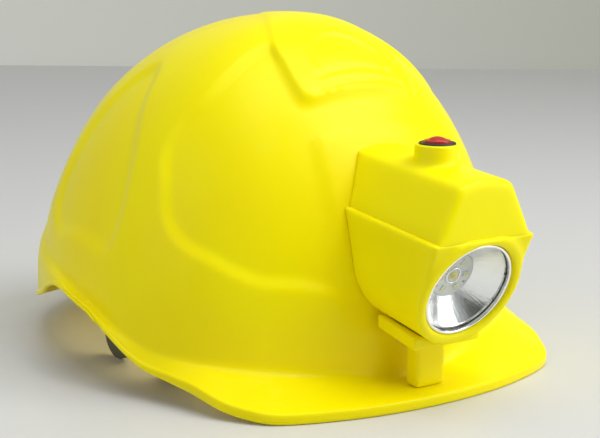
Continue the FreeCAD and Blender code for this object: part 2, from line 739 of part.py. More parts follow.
def make_jack():
    """Round barrel through the lamp's side wall with a thin flange outside it."""
    flange_x = COLLAR_EDGE
    start = V(flange_x - JACK_L, JACK_Y, JACK_Z)
    body = rod(JACK_R - SCREW_CLEAR, start, V(1, 0, 0), JACK_L)
    body = body.fuse(rod(JACK_FLANGE_R, V(flange_x, JACK_Y, JACK_Z), V(1, 0, 0), JACK_FLANGE_T))
    return body.cut(rod(JACK_BORE_R, start + V(1, 0, 0), V(1, 0, 0), JACK_L + JACK_FLANGE_T))


def lead(points, bend, r):
    """Round wire along straight runs joined by tangent arcs."""
    edges = []
    last = points[0]
    for here, after in zip(points[1:-1], points[2:]):
        d_in = (here - last).normalize()
        d_out = (after - here).normalize()
        half = d_in.getAngle(d_out) / 2
        back = bend * tan(half)
        a = here - d_in * back
        b = here + d_out * back
        mid = here + (d_out - d_in).normalize() * (bend / cos(half) - bend)
        edges += [Part.LineSegment(last, a).toShape(), Part.Arc(a, mid, b).toShape()]
        last = b
    edges.append(Part.LineSegment(last, points[-1]).toShape())
    start_dir = (points[1] - points[0]).normalize()
    ring_wire = Part.Wire([Part.Circle(points[0], start_dir, r).toShape()])
    return Part.Wire(edges).makePipeShell([ring_wire], True, True)


def make_leads(side):
    """One lead from the LED board up to the driver board, one from there to the switch."""
    x = side * 8.3
    low = on_lens_plane(x, 9.0, -BOARD_BACK - BOARD_T - 3.2)
    top_z = BOARD_Z - 0.05
    y = CELL_Y - 7.5
    led_run = [low, V(x, low.y + 1.0, low.z + 2.5), V(x, y, low.z + 5.5), V(x, y, top_z)]
    sx = side * 3.0
    start = V(sx, CELL_Y - 7.5, BOARD_Z + BOARD_T + 0.05)
    switch_run = [start, V(sx, CELL_Y - 7.5, start.z + 2.0), V(sx, SWITCH_Y, BARREL_BOTTOM - 13.4)]
    return group([lead(led_run, 1.5, LEAD_R), lead(switch_run, 0.8, LEAD_R)])


parts["battery_cradle"] = make_cradle()
parts["battery_contacts"] = make_contacts()
parts["driver_board"] = box(-DRIVER_HALF_W, DRIVER_HALF_W, DRIVER_Y[0], DRIVER_Y[1], BOARD_Z, BOARD_Z + BOARD_T)
parts["driver_chips"] = make_chips()
parts["charging_jack"] = make_jack()
parts["lead_red"] = make_leads(1)
parts["lead_black"] = make_leads(-1)


# ---- harness --------------------------------------------------------------
def arc_strip(centre, r_in, r_out, z0, z1, a0, a1):
    """Strip standing on edge round a vertical axis; angles from straight behind, + to the left (+X)."""
    pts = [V(0, r_in, z0), V(0, r_out, z0), V(0, r_out, z1), V(0, r_in, z1)]
    face = Part.Face(Part.makePolygon(pts + pts[:1]))
    face.rotate(V(0, 0, 0), V(0, 0, 1), -a0)
    solid = face.revolve(V(0, 0, 0), V(0, 0, 1), -(a1 - a0))
    solid.translate(V(centre.x, centre.y, 0))
    return solid


def stadium(r, z0, z1):
    """Filled outline of the headband: two half circles and the straight sides between."""
    front = rod(r, V(0, FRONT_C.y, z0), V(0, 0, 1), z1 - z0)
    rear = rod(r, V(0, REAR_C.y, z0), V(0, 0, 1), z1 - z0)
    return front.fuse([rear, box(-r, r, FRONT_C.y, REAR_C.y, z0, z1)]).removeSplitter()


LOBE_Y = Y0 + LOBE_BACK
TAB_Y = Y0 - TAB_OUT


def make_headband():
    low, high = BAND_Z
    wall = stadium(BAND_R + BAND_T, 0, high).cut(stadium(BAND_R, -1, high + 1))
    gap = radians(ARM_END)
    reach = 200.0
    wedge = [V(0, REAR_C.y, -1), V(reach * sin(gap), REAR_C.y + reach * cos(gap), -1),
             V(-reach * sin(gap), REAR_C.y + reach * cos(gap), -1)]
    wall = wall.cut(Part.Face(Part.makePolygon(wedge + wedge[:1])).extrude(V(0, 0, high + 2)))
    side = 2 * (BAND_R + 5)
    lobe = rod(LOBE_R, V(-side / 2, LOBE_Y, LOBE_R), V(1, 0, 0), side)
    lobe = lobe.fuse(box(-side / 2, side / 2, LOBE_Y - LOBE_R, LOBE_Y + LOBE_R, LOBE_R, low + 1))
    tab = [V(-side / 2, TAB_Y - TAB_HALF_TOP, low + 1), V(-side / 2, TAB_Y + TAB_HALF_TOP, low + 1),
           V(-side / 2, TAB_Y + TAB_HALF_FOOT, 0), V(-side / 2, TAB_Y - TAB_HALF_FOOT, 0)]
    tab = Part.Face(Part.makePolygon(tab + tab[:1])).extrude(V(side, 0, 0))
    keep = box(-200, 200, -200, 200, low, high).fuse([lobe, tab])
    slot = box(-side / 2, side / 2, LOBE_Y - 7, LOBE_Y + 7, LOBE_R - 2.5, LOBE_R + 2.5)
    return wall.common(keep).cut(slot)


TRACK_R = BAND_R + BAND_T + STRAP_GAP
TRACK = {1: TRACK_R, -1: TRACK_R + STRAP_T + STRAP_GAP}
STRAP_MID_Z = sum(STRAP_Z) / 2


def make_nape_strap(side):
    """Tail from the headband's arm into the ratchet, with a toothed slot; side 1 is the left (+X)."""
    r = TRACK[side]
    a0, a1 = sorted((-side * STRAP_TAIL, side * STRAP_END))
    tail = arc_strip(REAR_C, r, r + STRAP_T, STRAP_Z[0], STRAP_Z[1], a0, a1)
    slot = arc_strip(REAR_C, r - 1, r + STRAP_T + 1, STRAP_MID_Z - SLOT_HALF_H,
                     STRAP_MID_Z + SLOT_HALF_H, -SLOT_HALF, SLOT_HALF)
    tail = tail.cut(slot)
    pitch = degrees(GEAR_MODULE * pi / r)
    gear_r = GEAR_MODULE * GEAR_TEETH / 2
    up = side
    z_root = STRAP_MID_Z + up * (SLOT_HALF_H + 0.2)
    z_tip = STRAP_MID_Z + up * (gear_r - 0.8 * GEAR_MODULE)
    teeth = []
    for k in range(-5, 6):
        a = (k + 0.5) * pitch
        if abs(a) < SLOT_HALF - pitch / 2:
            teeth.append(arc_strip(REAR_C, r, r + STRAP_T, min(z_root, z_tip), max(z_root, z_tip),
                                   a - 0.17 * pitch, a + 0.17 * pitch))
    return tail.fuse(teeth)


STUB_R = 2.0


def make_pinion():
    """Gear between the two toothed slots, with its stub into the ratchet's base."""
    root = GEAR_MODULE * (GEAR_TEETH / 2 - 1.15)
    tip = GEAR_MODULE * (GEAR_TEETH / 2 + 0.8)
    y0 = REAR_C.y + TRACK[1] - 0.2
    length = TRACK[-1] + STRAP_T + 0.2 - TRACK[1] + 0.2
    gear = rod(root, V(0, y0, STRAP_MID_Z), V(0, 1, 0), length)
    teeth = []
    for k in range(GEAR_TEETH):
        tooth = box(-0.36 * GEAR_MODULE, 0.36 * GEAR_MODULE, y0, y0 + length, STRAP_MID_Z + root - 0.4,
                    STRAP_MID_Z + tip)
        tooth.rotate(V(0, 0, STRAP_MID_Z), V(0, 1, 0), 360.0 * k / GEAR_TEETH)
        teeth.append(tooth)
    stub = rod(STUB_R, V(0, y0 - 1.6, STRAP_MID_Z), V(0, 1, 0), 2.0)
    return gear.fuse(teeth + [stub])


BASE_IN = BAND_R - 1.0
BASE_OUT = TRACK_R - 0.3
COVER_IN = TRACK[-1] + STRAP_T + 0.5
COVER_OUT = COVER_IN + 2.0
KNOB_Y = REAR_C.y + COVER_OUT + 0.4


CASE_SCREWS = [(a, z) for a in (-13.5, 13.5) for z in (CASE_Z[0] + 2.3, CASE_Z[1] - 2.3)]
CASE_SCREW_L = 3.6


def case_line(a, z):
    """Where a ratchet screw meets the cover's outside, and the way it points inward."""
    outward = V(sin(radians(a)), cos(radians(a)), 0)
    return REAR_C + outward * COVER_OUT + V(0, 0, z), outward * -1


def case_hole(a, z):
    start, inward = case_line(a, z)
    return rod(SMALL_SCREW_R + SCREW_CLEAR, start - inward * 3, inward, CASE_SCREW_L + 3.2)


def make_ratchet_base():
    plate = arc_strip(REAR_C, BASE_IN, BASE_OUT, CASE_Z[0], CASE_Z[1], -CASE_HALF, CASE_HALF)
    stub_hole = rod(STUB_R + SCREW_CLEAR, V(0, REAR_C.y + BASE_IN + 0.9, STRAP_MID_Z), V(0, 1, 0), 9)
    return plate.cut([stub_hole] + [case_hole(a, z) for a, z in CASE_SCREWS])


def make_ratchet_cover():
    cover = arc_strip(REAR_C, BASE_OUT + SCREW_CLEAR, COVER_OUT, CASE_Z[0], CASE_Z[1], -CASE_HALF, CASE_HALF)
    room = arc_strip(REAR_C, BASE_OUT - 1, COVER_IN, STRAP_Z[0] - 0.4, STRAP_Z[1] + 0.4,
                     -CASE_HALF - 2, CASE_HALF + 2)
    shaft = rod(KNOB_SHAFT_R + SCREW_CLEAR, V(0, REAR_C.y + BASE_OUT, STRAP_MID_Z), V(0, 1, 0), 20)
    return cover.cut([room, shaft] + [case_hole(a, z) for a, z in CASE_SCREWS])


def make_knob():
    """Grip wheel with scalloped edge on the pinion's shaft."""
    knob = rod(KNOB_R, V(0, KNOB_Y, STRAP_MID_Z), V(0, 1, 0), KNOB_T)
    scallops = []
    for k in range(16):
        a = 2 * pi * k / 16
        scallops.append(rod(1.4, V((KNOB_R + 0.5) * sin(a), KNOB_Y - 1, STRAP_MID_Z + (KNOB_R + 0.5) * cos(a)),
                            V(0, 1, 0), KNOB_T + 2))
    pinion_end = REAR_C.y + TRACK[-1] + STRAP_T + 0.2
    shaft = rod(KNOB_SHAFT_R - SCREW_CLEAR, V(0, pinion_end, STRAP_MID_Z), V(0, 1, 0), KNOB_Y - pinion_end)
    return knob.cut(scallops).fuse(shaft)


def make_case_screws():
    screws = []
    for a, z in CASE_SCREWS:
        start, inward = case_line(a, z)
        tip = start + inward * CASE_SCREW_L
        screws.append(pan_screw(tip, inward, CASE_SCREW_L + 0.3, SMALL_SCREW_R, SMALL_HEAD_R, 1.0))
    return group(screws)


parts["headband"] = make_headband()
parts["nape_strap_left"] = make_nape_strap(1)
parts["nape_strap_right"] = make_nape_strap(-1)
parts["ratchet_pinion"] = make_pinion()
parts["ratchet_base"] = make_ratchet_base()
parts["ratchet_cover"] = make_ratchet_cover()
parts["ratchet_knob"] = make_knob()
parts["ratchet_screws"] = make_case_screws()

parts["brow_pad"] = arc_strip(FRONT_C, BAND_R - 0.3 - PAD_T, BAND_R - 0.3, BAND_Z[0] + 1, BAND_Z[1] - 1,
                              180 - BROW_HALF, 180 + BROW_HALF)
parts["nape_pad"] = arc_strip(REAR_C, BASE_IN - 0.3 - PAD_T, BASE_IN - 0.3, CASE_Z[0] + 1, CASE_Z[1] - 1,
                              -CASE_HALF, CASE_HALF)


def turned(shape, angle):
    """Copy turned about the upright axis through the harness's middle."""
    shape = shape.copy()
    shape.rotate(V(0, CROWN_Y, 0), V(0, 0, 1), angle)
    return shape


def make_web(angle, raise_by):
    """Crown strap: half of an oval hoop, standing on the hanger keys."""
    z0 = KEY_Z + KEY_T
    outer_r, outer_h = KEY_R + 6.0 + raise_by / 2, CROWN_Z - z0 + raise_by
    hoops = []
    for shrink in (0, WEB_T):
        oval = Part.Ellipse(V(0, 0, 0), max(outer_r, outer_h) - shrink, min(outer_r, outer_h) - shrink)
        disc = Part.Face(Part.Wire([oval.toShape()])).extrude(V(0, 0, WEB_W))
        disc.rotate(V(0, 0, 0), V(1, 0, 0), 90)
        disc.translate(V(0, CROWN_Y + WEB_W / 2, z0))
        hoops.append(disc)
    hoop = hoops[0].cut(hoops[1]).common(box(-200, 200, -200, 200, z0, 300))
    return turned(hoop, angle)


KEY_DIRS = (90 - KEY_ANGLE, 90 + KEY_ANGLE, 270 - KEY_ANGLE, 270 + KEY_ANGLE)
SOCKET_W = KEY_W + 6
SOCKET_Z = (KEY_Z - 3.0, KEY_Z + KEY_T + 3.0)


key_space = dome_solid(-WALL - 0.5)
pocket_space = dome_solid(-WALL - 0.1)


def make_keys():
    """Plastic keys: a tongue into the cap's pocket, a tail riveted to the headband."""
    keys = []
    for a in KEY_DIRS:
        bar = box(KEY_R, KEY_REACH, CROWN_Y - KEY_W / 2, CROWN_Y + KEY_W / 2, KEY_Z, KEY_Z + KEY_T)
        tail_r = band_reach(a) + 0.6
        tail = box(tail_r, tail_r + 2.0, CROWN_Y - 5, CROWN_Y + 5, BAND_Z[0] + 8, KEY_Z)
        keys.append(turned(bar.fuse(tail), a).common(key_space))
    return group(keys)


def band_reach(a):
    """Distance from the harness's middle to the headband's outside, along a key."""
    half_gap = (BAND_REAR_C - BAND_FRONT_C) / 2
    s = abs(sin(radians(a)))
    across = BAND_R + BAND_T
    return half_gap * s + sqrt(across ** 2 - (half_gap * cos(radians(a))) ** 2)


def make_sockets():
    """Pockets moulded on the inside of the cap, one for each key."""
    pockets = []
    for a in KEY_DIRS:
        block = box(SOCKET_IN, 140, CROWN_Y - SOCKET_W / 2, CROWN_Y + SOCKET_W / 2, *SOCKET_Z)
        slot = box(SOCKET_IN - 1, 150, CROWN_Y - KEY_W / 2 - 0.15, CROWN_Y + KEY_W / 2 + 0.15,
                   KEY_Z - 0.15, KEY_Z + KEY_T + 0.15)
        pockets.append(turned(block.cut(slot), a).common(pocket_space))
    return group([max(p.Solids, key=lambda s: s.Volume) for p in pockets])


parts["crown_strap_lower"] = make_web(KEY_DIRS[0], 0.0)
parts["crown_strap_upper"] = make_web(KEY_DIRS[1], WEB_T + 1.3)
parts["hanger_keys"] = make_keys()
parts["key_pockets"] = make_sockets()

for name, shape in parts.items():
    shape.exportStep("parts/" + name + ".step")
    print(name, "solids", len(shape.Solids), "volume", round(shape.Volume), "valid", shape.isValid())
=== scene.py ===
# %% [markdown]
# # A hard hat with a lamp built onto its brow
# This lesson dresses a finished CAD model. The CAD holds every size and every joint, so it is loaded first
# and is never moved. Blender adds what CAD is poor at: moulded relief, soft edges, mirrors, fabric and worn
# plastic.

# %% Load the frame
import json
import math
import bpy
import numpy as np
from mathutils import Matrix, Vector


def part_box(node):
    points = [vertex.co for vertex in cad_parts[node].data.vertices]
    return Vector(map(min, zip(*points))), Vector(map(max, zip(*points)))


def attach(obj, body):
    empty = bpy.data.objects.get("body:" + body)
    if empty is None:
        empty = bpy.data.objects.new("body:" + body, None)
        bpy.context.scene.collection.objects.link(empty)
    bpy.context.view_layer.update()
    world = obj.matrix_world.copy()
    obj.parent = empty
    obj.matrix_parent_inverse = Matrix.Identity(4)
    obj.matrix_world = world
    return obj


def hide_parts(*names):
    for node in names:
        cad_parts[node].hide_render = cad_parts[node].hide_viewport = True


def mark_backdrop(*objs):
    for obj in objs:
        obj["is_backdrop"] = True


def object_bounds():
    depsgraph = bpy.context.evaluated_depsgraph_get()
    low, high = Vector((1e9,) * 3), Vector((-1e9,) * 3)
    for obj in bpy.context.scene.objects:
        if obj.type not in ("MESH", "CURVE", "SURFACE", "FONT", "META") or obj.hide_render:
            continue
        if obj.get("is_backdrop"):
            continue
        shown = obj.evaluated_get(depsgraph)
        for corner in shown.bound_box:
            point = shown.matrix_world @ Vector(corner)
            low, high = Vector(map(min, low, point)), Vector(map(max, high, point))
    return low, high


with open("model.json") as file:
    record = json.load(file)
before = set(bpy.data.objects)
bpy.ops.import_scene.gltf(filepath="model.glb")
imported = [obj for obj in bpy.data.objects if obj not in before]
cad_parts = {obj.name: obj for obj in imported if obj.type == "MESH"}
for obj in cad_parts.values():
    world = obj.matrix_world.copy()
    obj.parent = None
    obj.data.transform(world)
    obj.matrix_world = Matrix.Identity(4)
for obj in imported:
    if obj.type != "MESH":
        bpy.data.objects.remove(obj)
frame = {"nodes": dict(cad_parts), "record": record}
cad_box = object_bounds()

MM = 0.001
nodes = frame["nodes"]

# %% [markdown]
# ## Working with operators
# A Blender operator acts on whatever is selected, just as a click in the window does. Loading leaves every
# CAD node selected, so each step begins by selecting one thing only. These few helpers keep that habit in
# one place.

# %% Helpers for selecting and editing
def pick(piece):
    """Leave edit mode, then make one object the only one that operators act on."""
    if bpy.context.mode != "OBJECT":
        bpy.ops.object.mode_set(mode="OBJECT")
    bpy.ops.object.select_all(action="DESELECT")
    piece.select_set(True)
    bpy.context.view_layer.objects.active = piece
    return piece


def clear_picks():
    if bpy.context.mode != "OBJECT":
        bpy.ops.object.mode_set(mode="OBJECT")
    bpy.ops.object.select_all(action="DESELECT")


def named(name):
    """Name the primitive that was just added."""
    piece = bpy.context.object
    piece.name = name
    piece.data.name = name
    return piece


def edit(piece, action="SELECT"):
    pick(piece)
    bpy.ops.object.mode_set(mode="EDIT")
    bpy.ops.mesh.select_all(action=action)


def modify(piece, kind, **settings):
    """Add a modifier, set it and apply it."""
    pick(piece)
    modifier = piece.modifiers.new(kind.title(), kind)
    for key, value in settings.items():
        setattr(modifier, key, value)
    bpy.ops.object.modifier_apply(modifier=modifier.name)


def tidy(piece, angle=40, gap=1e-6):
    """Weld doubled points, turn the faces outward and shade all but the sharp edges smooth."""
    edit(piece)
    bpy.ops.mesh.remove_doubles(threshold=gap)
    bpy.ops.mesh.normals_make_consistent(inside=False)
    bpy.ops.object.mode_set(mode="OBJECT")
    bpy.ops.object.transform_apply(location=True, rotation=True, scale=True)
    bpy.ops.object.shade_smooth_by_angle(angle=math.radians(angle))
    return piece


def points_of(piece):
    co = np.empty(len(piece.data.vertices) * 3, np.float32)
    piece.data.vertices.foreach_get("co", co)
    return co.reshape(-1, 3).astype(float)


def move_points(piece, co):
    piece.data.vertices.foreach_set("co", co.astype(np.float32).ravel())
    piece.data.update()


def middle(node):
    low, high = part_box(node)
    return (low + high) / 2


def finish_piece(piece, body, slot, *stands_for):
    """Give a new piece its finish, attach it to what it rides on and print that, and hide the CAD nodes it
    stands for.
    """
    if not piece.data.materials:
        dress(piece, slot)
    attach(piece, body)
    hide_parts(*stands_for)
    triangles = sum(len(p.vertices) - 2 for p in piece.data.polygons)
    print(f"{piece.name}: {triangles} triangles, on {body}")


# %% [markdown]
# ## The camera and the room
# Placing the camera first lets every later step be judged from it. The object stands on a pale table whose
# far edge meets a wall whose colour carries painted light: brighter at the left, darker at the right. Large
# soft lights stand to the right and overhead, a weaker one on the left fills the shadows, and a low panel
# lights the mirror. A dark card behind the camera gives the mirror something dark to show.

# %% Camera
AZIMUTH = math.radians(-35.9)
ELEVATION = math.radians(11.0)
ROLL = math.radians(0.5)
DISTANCE = 0.718
LOOK_AT = Vector((0.0069, -0.0046, 0.0603))

level = math.cos(ELEVATION)
back = Vector((math.sin(AZIMUTH) * level, -math.cos(AZIMUTH) * level, math.sin(ELEVATION)))
right = Vector((math.cos(AZIMUTH), math.sin(AZIMUTH), 0))
up = back.cross(right)
right, up = right * math.cos(ROLL) + up * math.sin(ROLL), up * math.cos(ROLL) - right * math.sin(ROLL)

camera = bpy.data.objects.new("Camera", bpy.data.cameras.new("Camera"))
bpy.context.scene.collection.objects.link(camera)
camera.data.lens = 90
camera.data.sensor_width = 36
camera.data.clip_start = 0.01
camera.matrix_world = Matrix((right, up, back)).transposed().to_4x4()
camera.location = LOOK_AT + back * DISTANCE
bpy.context.scene.camera = camera
print("camera at", [round(v, 3) for v in camera.location])

# %% Table, wall and lights
scene = bpy.context.scene
scene.view_settings.view_transform = "Standard"
TABLE_END = 2.15
CARD_TURN = math.radians(-13)
upright = Matrix.Rotation(math.radians(90), 4, "X")
room_dir = Vector((-math.sin(AZIMUTH), math.cos(AZIMUTH), 0))


def plain_material(name, colour, roughness):
    material = bpy.data.materials.new(name)
    material.use_nodes = True
    shader = material.node_tree.nodes["Principled BSDF"]
    shader.inputs["Base Color"].default_value = (*colour, 1)
    shader.inputs["Roughness"].default_value = roughness
    return material


clear_picks()
bpy.ops.mesh.primitive_plane_add(size=6)
table = named("table")
table.matrix_world = Matrix.Rotation(AZIMUTH, 4, "Z")
table.location = camera.location.xy.to_3d() + room_dir * (TABLE_END - 3)
table.data.materials.append(plain_material("table_top", (0.635, 0.635, 0.625), 0.45))

clear_picks()
bpy.ops.mesh.primitive_plane_add(size=8)
wall = named("wall")
wall.matrix_world = Matrix.Rotation(AZIMUTH, 4, "Z") @ upright
wall.location = camera.location.xy.to_3d() + room_dir * (TABLE_END + 0.35)
wall.data.materials.append(plain_material("wall_painted_light", (0.80, 0.79, 0.75), 0.9))
# The wall's colour is painted light: it runs from brighter at the left to darker at the right, standing in
# for light falling off across the wall.
wall_light_nodes = wall.data.materials[0].node_tree
side = wall_light_nodes.nodes.new("ShaderNodeTexCoord")
split = wall_light_nodes.nodes.new("ShaderNodeSeparateXYZ")
wall_light_falloff = wall_light_nodes.nodes.new("ShaderNodeMapRange")
painted_wall_light = wall_light_nodes.nodes.new("ShaderNodeMix")
painted_wall_light.data_type = "RGBA"
wall_light_nodes.links.new(side.outputs["Object"], split.inputs["Vector"])
wall_light_nodes.links.new(split.outputs["X"], wall_light_falloff.inputs["Value"])
wall_light_falloff.inputs["From Min"].default_value = -0.6
wall_light_falloff.inputs["From Max"].default_value = 0.6
painted_wall_light.inputs[6].default_value = (0.90, 0.90, 0.80, 1)
painted_wall_light.inputs[7].default_value = (0.62, 0.63, 0.53, 1)
wall_light_nodes.links.new(wall_light_falloff.outputs["Result"], painted_wall_light.inputs["Factor"])
wall_light_nodes.links.new(painted_wall_light.outputs[2], wall_light_nodes.nodes["Principled BSDF"].inputs["Base Color"])
clear_picks()
bpy.ops.mesh.primitive_plane_add(size=0.65)
dark_card = named("dark_card")
dark_card.matrix_world = Matrix.Rotation(CARD_TURN, 4, "Z") @ upright
dark_card.location = (-0.21, -1.06, 0.33)
dark_card.visible_camera = False
dark_card.data.materials.append(plain_material("dark_card", (0.02, 0.02, 0.02), 0.8))
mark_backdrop(table, wall, dark_card)


def soft_light(name, azimuth, elevation, distance, size, power, colour=(1, 1, 1)):
    """Square light aimed at the object; azimuth is measured from the camera's side, positive to the right."""
    light = bpy.data.objects.new(name, bpy.data.lights.new(name, "AREA"))
    light.data.size = size
    light.data.energy = power
    light.data.color = colour
    light.visible_camera = False
    scene.collection.objects.link(light)
    a = AZIMUTH + math.radians(azimuth)
    e = math.radians(elevation)
    away = Vector((math.sin(a) * math.cos(e), -math.cos(a) * math.cos(e), math.sin(e)))
    light.location = LOOK_AT + away * distance
    light.rotation_euler = away.to_track_quat("Z", "Y").to_euler()


soft_light("key_light", 76, 50, 1.25, 0.8, 10)
soft_light("top_light", 15, 80, 1.5, 1.0, 8)
soft_light("fill_light", -60, 22, 1.8, 1.3, 4.0)
soft_light("side_panel", 80, 10, 1.4, 0.8, 4.5)

world = bpy.data.worlds.new("room")
world.use_nodes = True
world.node_tree.nodes["Background"].inputs["Color"].default_value = (0.93, 0.95, 1.0, 1)
world.node_tree.nodes["Background"].inputs["Strength"].default_value = 0.42
scene.world = world
# Some light comes through the thin yellow shell and colours the table beneath it.
glow = bpy.data.objects.new("shell_glow", bpy.data.lights.new("shell_glow", "AREA"))
glow.data.shape = "DISK"
glow.data.size = 0.13
glow.data.energy = 0.10
glow.data.color = (1.0, 0.86, 0.42)
glow.location = (0, 0.015, 0.085)
glow.visible_camera = False
scene.collection.objects.link(glow)

# %% [markdown]
# ## Finishes that several materials share
# Moulded plastic is never one flat colour. Its tone drifts slowly, its skin has a faint ripple, and
# handling leaves fine scratches and dull scuffs. Each effect is a node group, built once, that puts out
# masks and heights. The material that uses it decides what the mask does to colour, gloss and bump.

# %% Helpers for node trees
def put(tree, kind, inputs=None, **settings):
    """Add a node, set its properties, and fill each input with a value or a link."""
    node = tree.nodes.new(kind)
    for key, value in settings.items():
        setattr(node, key, value)
    for key, value in (inputs or {}).items():
        if isinstance(value, bpy.types.NodeSocket):
            tree.links.new(value, node.inputs[key])
        else:
            node.inputs[key].default_value = value
    return node


def new_group(name, inputs, outputs):
    """Empty shader group with float inputs (name: default), a Vector input and float outputs."""
    tree = bpy.data.node_groups.new(name, "ShaderNodeTree")
    tree.interface.new_socket("Vector", in_out="INPUT", socket_type="NodeSocketVector")
    for key, value in inputs.items():
        socket = tree.interface.new_socket(key, in_out="INPUT", socket_type="NodeSocketFloat")
        socket.default_value = value
    for key in outputs:
        tree.interface.new_socket(key, in_out="OUTPUT", socket_type="NodeSocketFloat")
    return tree, put(tree, "NodeGroupInput"), put(tree, "NodeGroupOutput")


def times(tree, a, b):
    return put(tree, "ShaderNodeMath", {0: a, 1: b}, operation="MULTIPLY").outputs[0]


def plus(tree, a, b):
    return put(tree, "ShaderNodeMath", {0: a, 1: b}, operation="ADD").outputs[0]


def spread(tree, value, low, high, to_low=0.0, to_high=1.0):
    """Stretch a value from one range to another, with a soft start and end."""
    node = put(tree, "ShaderNodeMapRange", {"Value": value, "From Min": low, "From Max": high,
                                            "To Min": to_low, "To Max": to_high},
               interpolation_type="SMOOTHSTEP")
    return node.outputs["Result"]


def noise(tree, vector, scale, detail=3.0, rough=0.5, distort=0.0):
    node = put(tree, "ShaderNodeTexNoise", {"Vector": vector, "Scale": scale, "Detail": detail,
                                            "Roughness": rough, "Distortion": distort})
    return node.outputs["Fac"]


# %% Shared effect: the skin of moulded plastic
def make_moulded_skin():
    tree, source, result = new_group("moulded_skin", {"Scale": 1.0}, ("Tone", "Ripple"))
    where = put(tree, "ShaderNodeVectorMath", {0: source.outputs["Vector"], "Scale": source.outputs["Scale"]},
                operation="SCALE")
    tone = noise(tree, where.outputs[0], 14, 2)
    tree.links.new(spread(tree, tone, 0.3, 0.7), result.inputs["Tone"])
    coarse = noise(tree, where.outputs[0], 90, 2)
    fine = noise(tree, where.outputs[0], 900, 1)
    tree.links.new(plus(tree, coarse, times(tree, fine, 0.15)), result.inputs["Ripple"])
    return tree


moulded_skin = make_moulded_skin()


# %% Shared effect: scratches and scuffs from handling
def make_handling_wear():
    tree, source, result = new_group("handling_wear", {"Scale": 1.0, "Amount": 0.5}, ("Scratch", "Scuff"))
    where = put(tree, "ShaderNodeVectorMath", {0: source.outputs["Vector"], "Scale": source.outputs["Scale"]},
                operation="SCALE")
    base = where.outputs[0]
    lines = None
    for turn, stretch in ((0.5, (60, 260, 60)), (1.9, (240, 70, 90))):
        turned_to = put(tree, "ShaderNodeMapping", {"Vector": base, "Rotation": (turn, turn * 0.6, turn),
                                                    "Scale": stretch})
        wavy = noise(tree, turned_to.outputs[0], 0.35, 2, 0.5, 1.2)
        away = put(tree, "ShaderNodeMath", {0: wavy, 1: 0.5}, operation="SUBTRACT").outputs[0]
        near = put(tree, "ShaderNodeMath", {0: away}, operation="ABSOLUTE").outputs[0]
        thin = spread(tree, near, 0.0, 0.006, 1.0, 0.0)
        lines = thin if lines is None else plus(tree, lines, thin)
    patches = spread(tree, noise(tree, base, 22, 4, 0.6), 0.56, 0.70)
    scratch = times(tree, times(tree, lines, patches), source.outputs["Amount"])
    tree.links.new(scratch, result.inputs["Scratch"])
    scuff = times(tree, spread(tree, noise(tree, base, 35, 6, 0.7), 0.55, 0.75), source.outputs["Amount"])
    tree.links.new(scuff, result.inputs["Scuff"])
    return tree


handling_wear = make_handling_wear()


# %% Shared effect: grain of cut or rolled metal
def make_metal_grain():
    tree, source, result = new_group("metal_grain", {"Scale": 1.0}, ("Grain", "Stain"))
    long_grain = put(tree, "ShaderNodeMapping", {"Vector": source.outputs["Vector"], "Scale": (900, 900, 60)})
    tree.links.new(noise(tree, long_grain.outputs[0], source.outputs["Scale"], 2), result.inputs["Grain"])
    tree.links.new(noise(tree, source.outputs["Vector"], 120, 3), result.inputs["Stain"])
    return tree


metal_grain = make_metal_grain()


# %% Shared effect: threads of a woven tape or a knit
def make_threads():
    tree, source, result = new_group("threads", {"Across": 1.0, "Along": 1.0}, ("Height", "Tone"))
    axes = put(tree, "ShaderNodeSeparateXYZ", {"Vector": source.outputs["Vector"]})
    warp = put(tree, "ShaderNodeMath", {0: times(tree, axes.outputs["X"], source.outputs["Across"])},
               operation="SINE")
    weft = put(tree, "ShaderNodeMath", {0: times(tree, axes.outputs["Y"], source.outputs["Along"])},
               operation="SINE")
    crossing = times(tree, warp.outputs[0], weft.outputs[0])
    fuzz = noise(tree, source.outputs["Vector"], 700, 3)
    height = plus(tree, times(tree, crossing, 0.35), times(tree, fuzz, 0.5))
    tree.links.new(plus(tree, height, 0.35), result.inputs["Height"])
    tree.links.new(noise(tree, source.outputs["Vector"], 60, 3), result.inputs["Tone"])
    return tree


threads = make_threads()
print("shared effects:", [g.name for g in bpy.data.node_groups])


# %% [markdown]
# ## Materials
# Each finish is a short function. Colours are given for a light tone and a deep tone, and the shared tone
# mask moves between them. Scuffs make plastic paler and duller, so the same mask feeds colour and
# roughness.

# %% Plastic, in any colour
def principled(name):
    material = bpy.data.materials.new(name)
    material.use_nodes = True
    tree = material.node_tree
    where = put(tree, "ShaderNodeTexCoord").outputs["Object"]
    return material, tree, tree.nodes["Principled BSDF"], where


def group_node(tree, group, inputs):
    return put(tree, "ShaderNodeGroup", inputs, node_tree=group)


def blend_colours(tree, mask, low, high):
    """Colour that goes from low to high with a mask; each end is a colour or a socket."""
    low, high = (end if isinstance(end, bpy.types.NodeSocket) else (*end, 1) for end in (low, high))
    return put(tree, "ShaderNodeMix", {"Factor": mask, 6: low, 7: high}, data_type="RGBA").outputs[2]


def bump(tree, shader, height, strength, distance):
    node = put(tree, "ShaderNodeBump", {"Height": height, "Strength": strength, "Distance": distance})
    tree.links.new(node.outputs["Normal"], shader.inputs["Normal"])


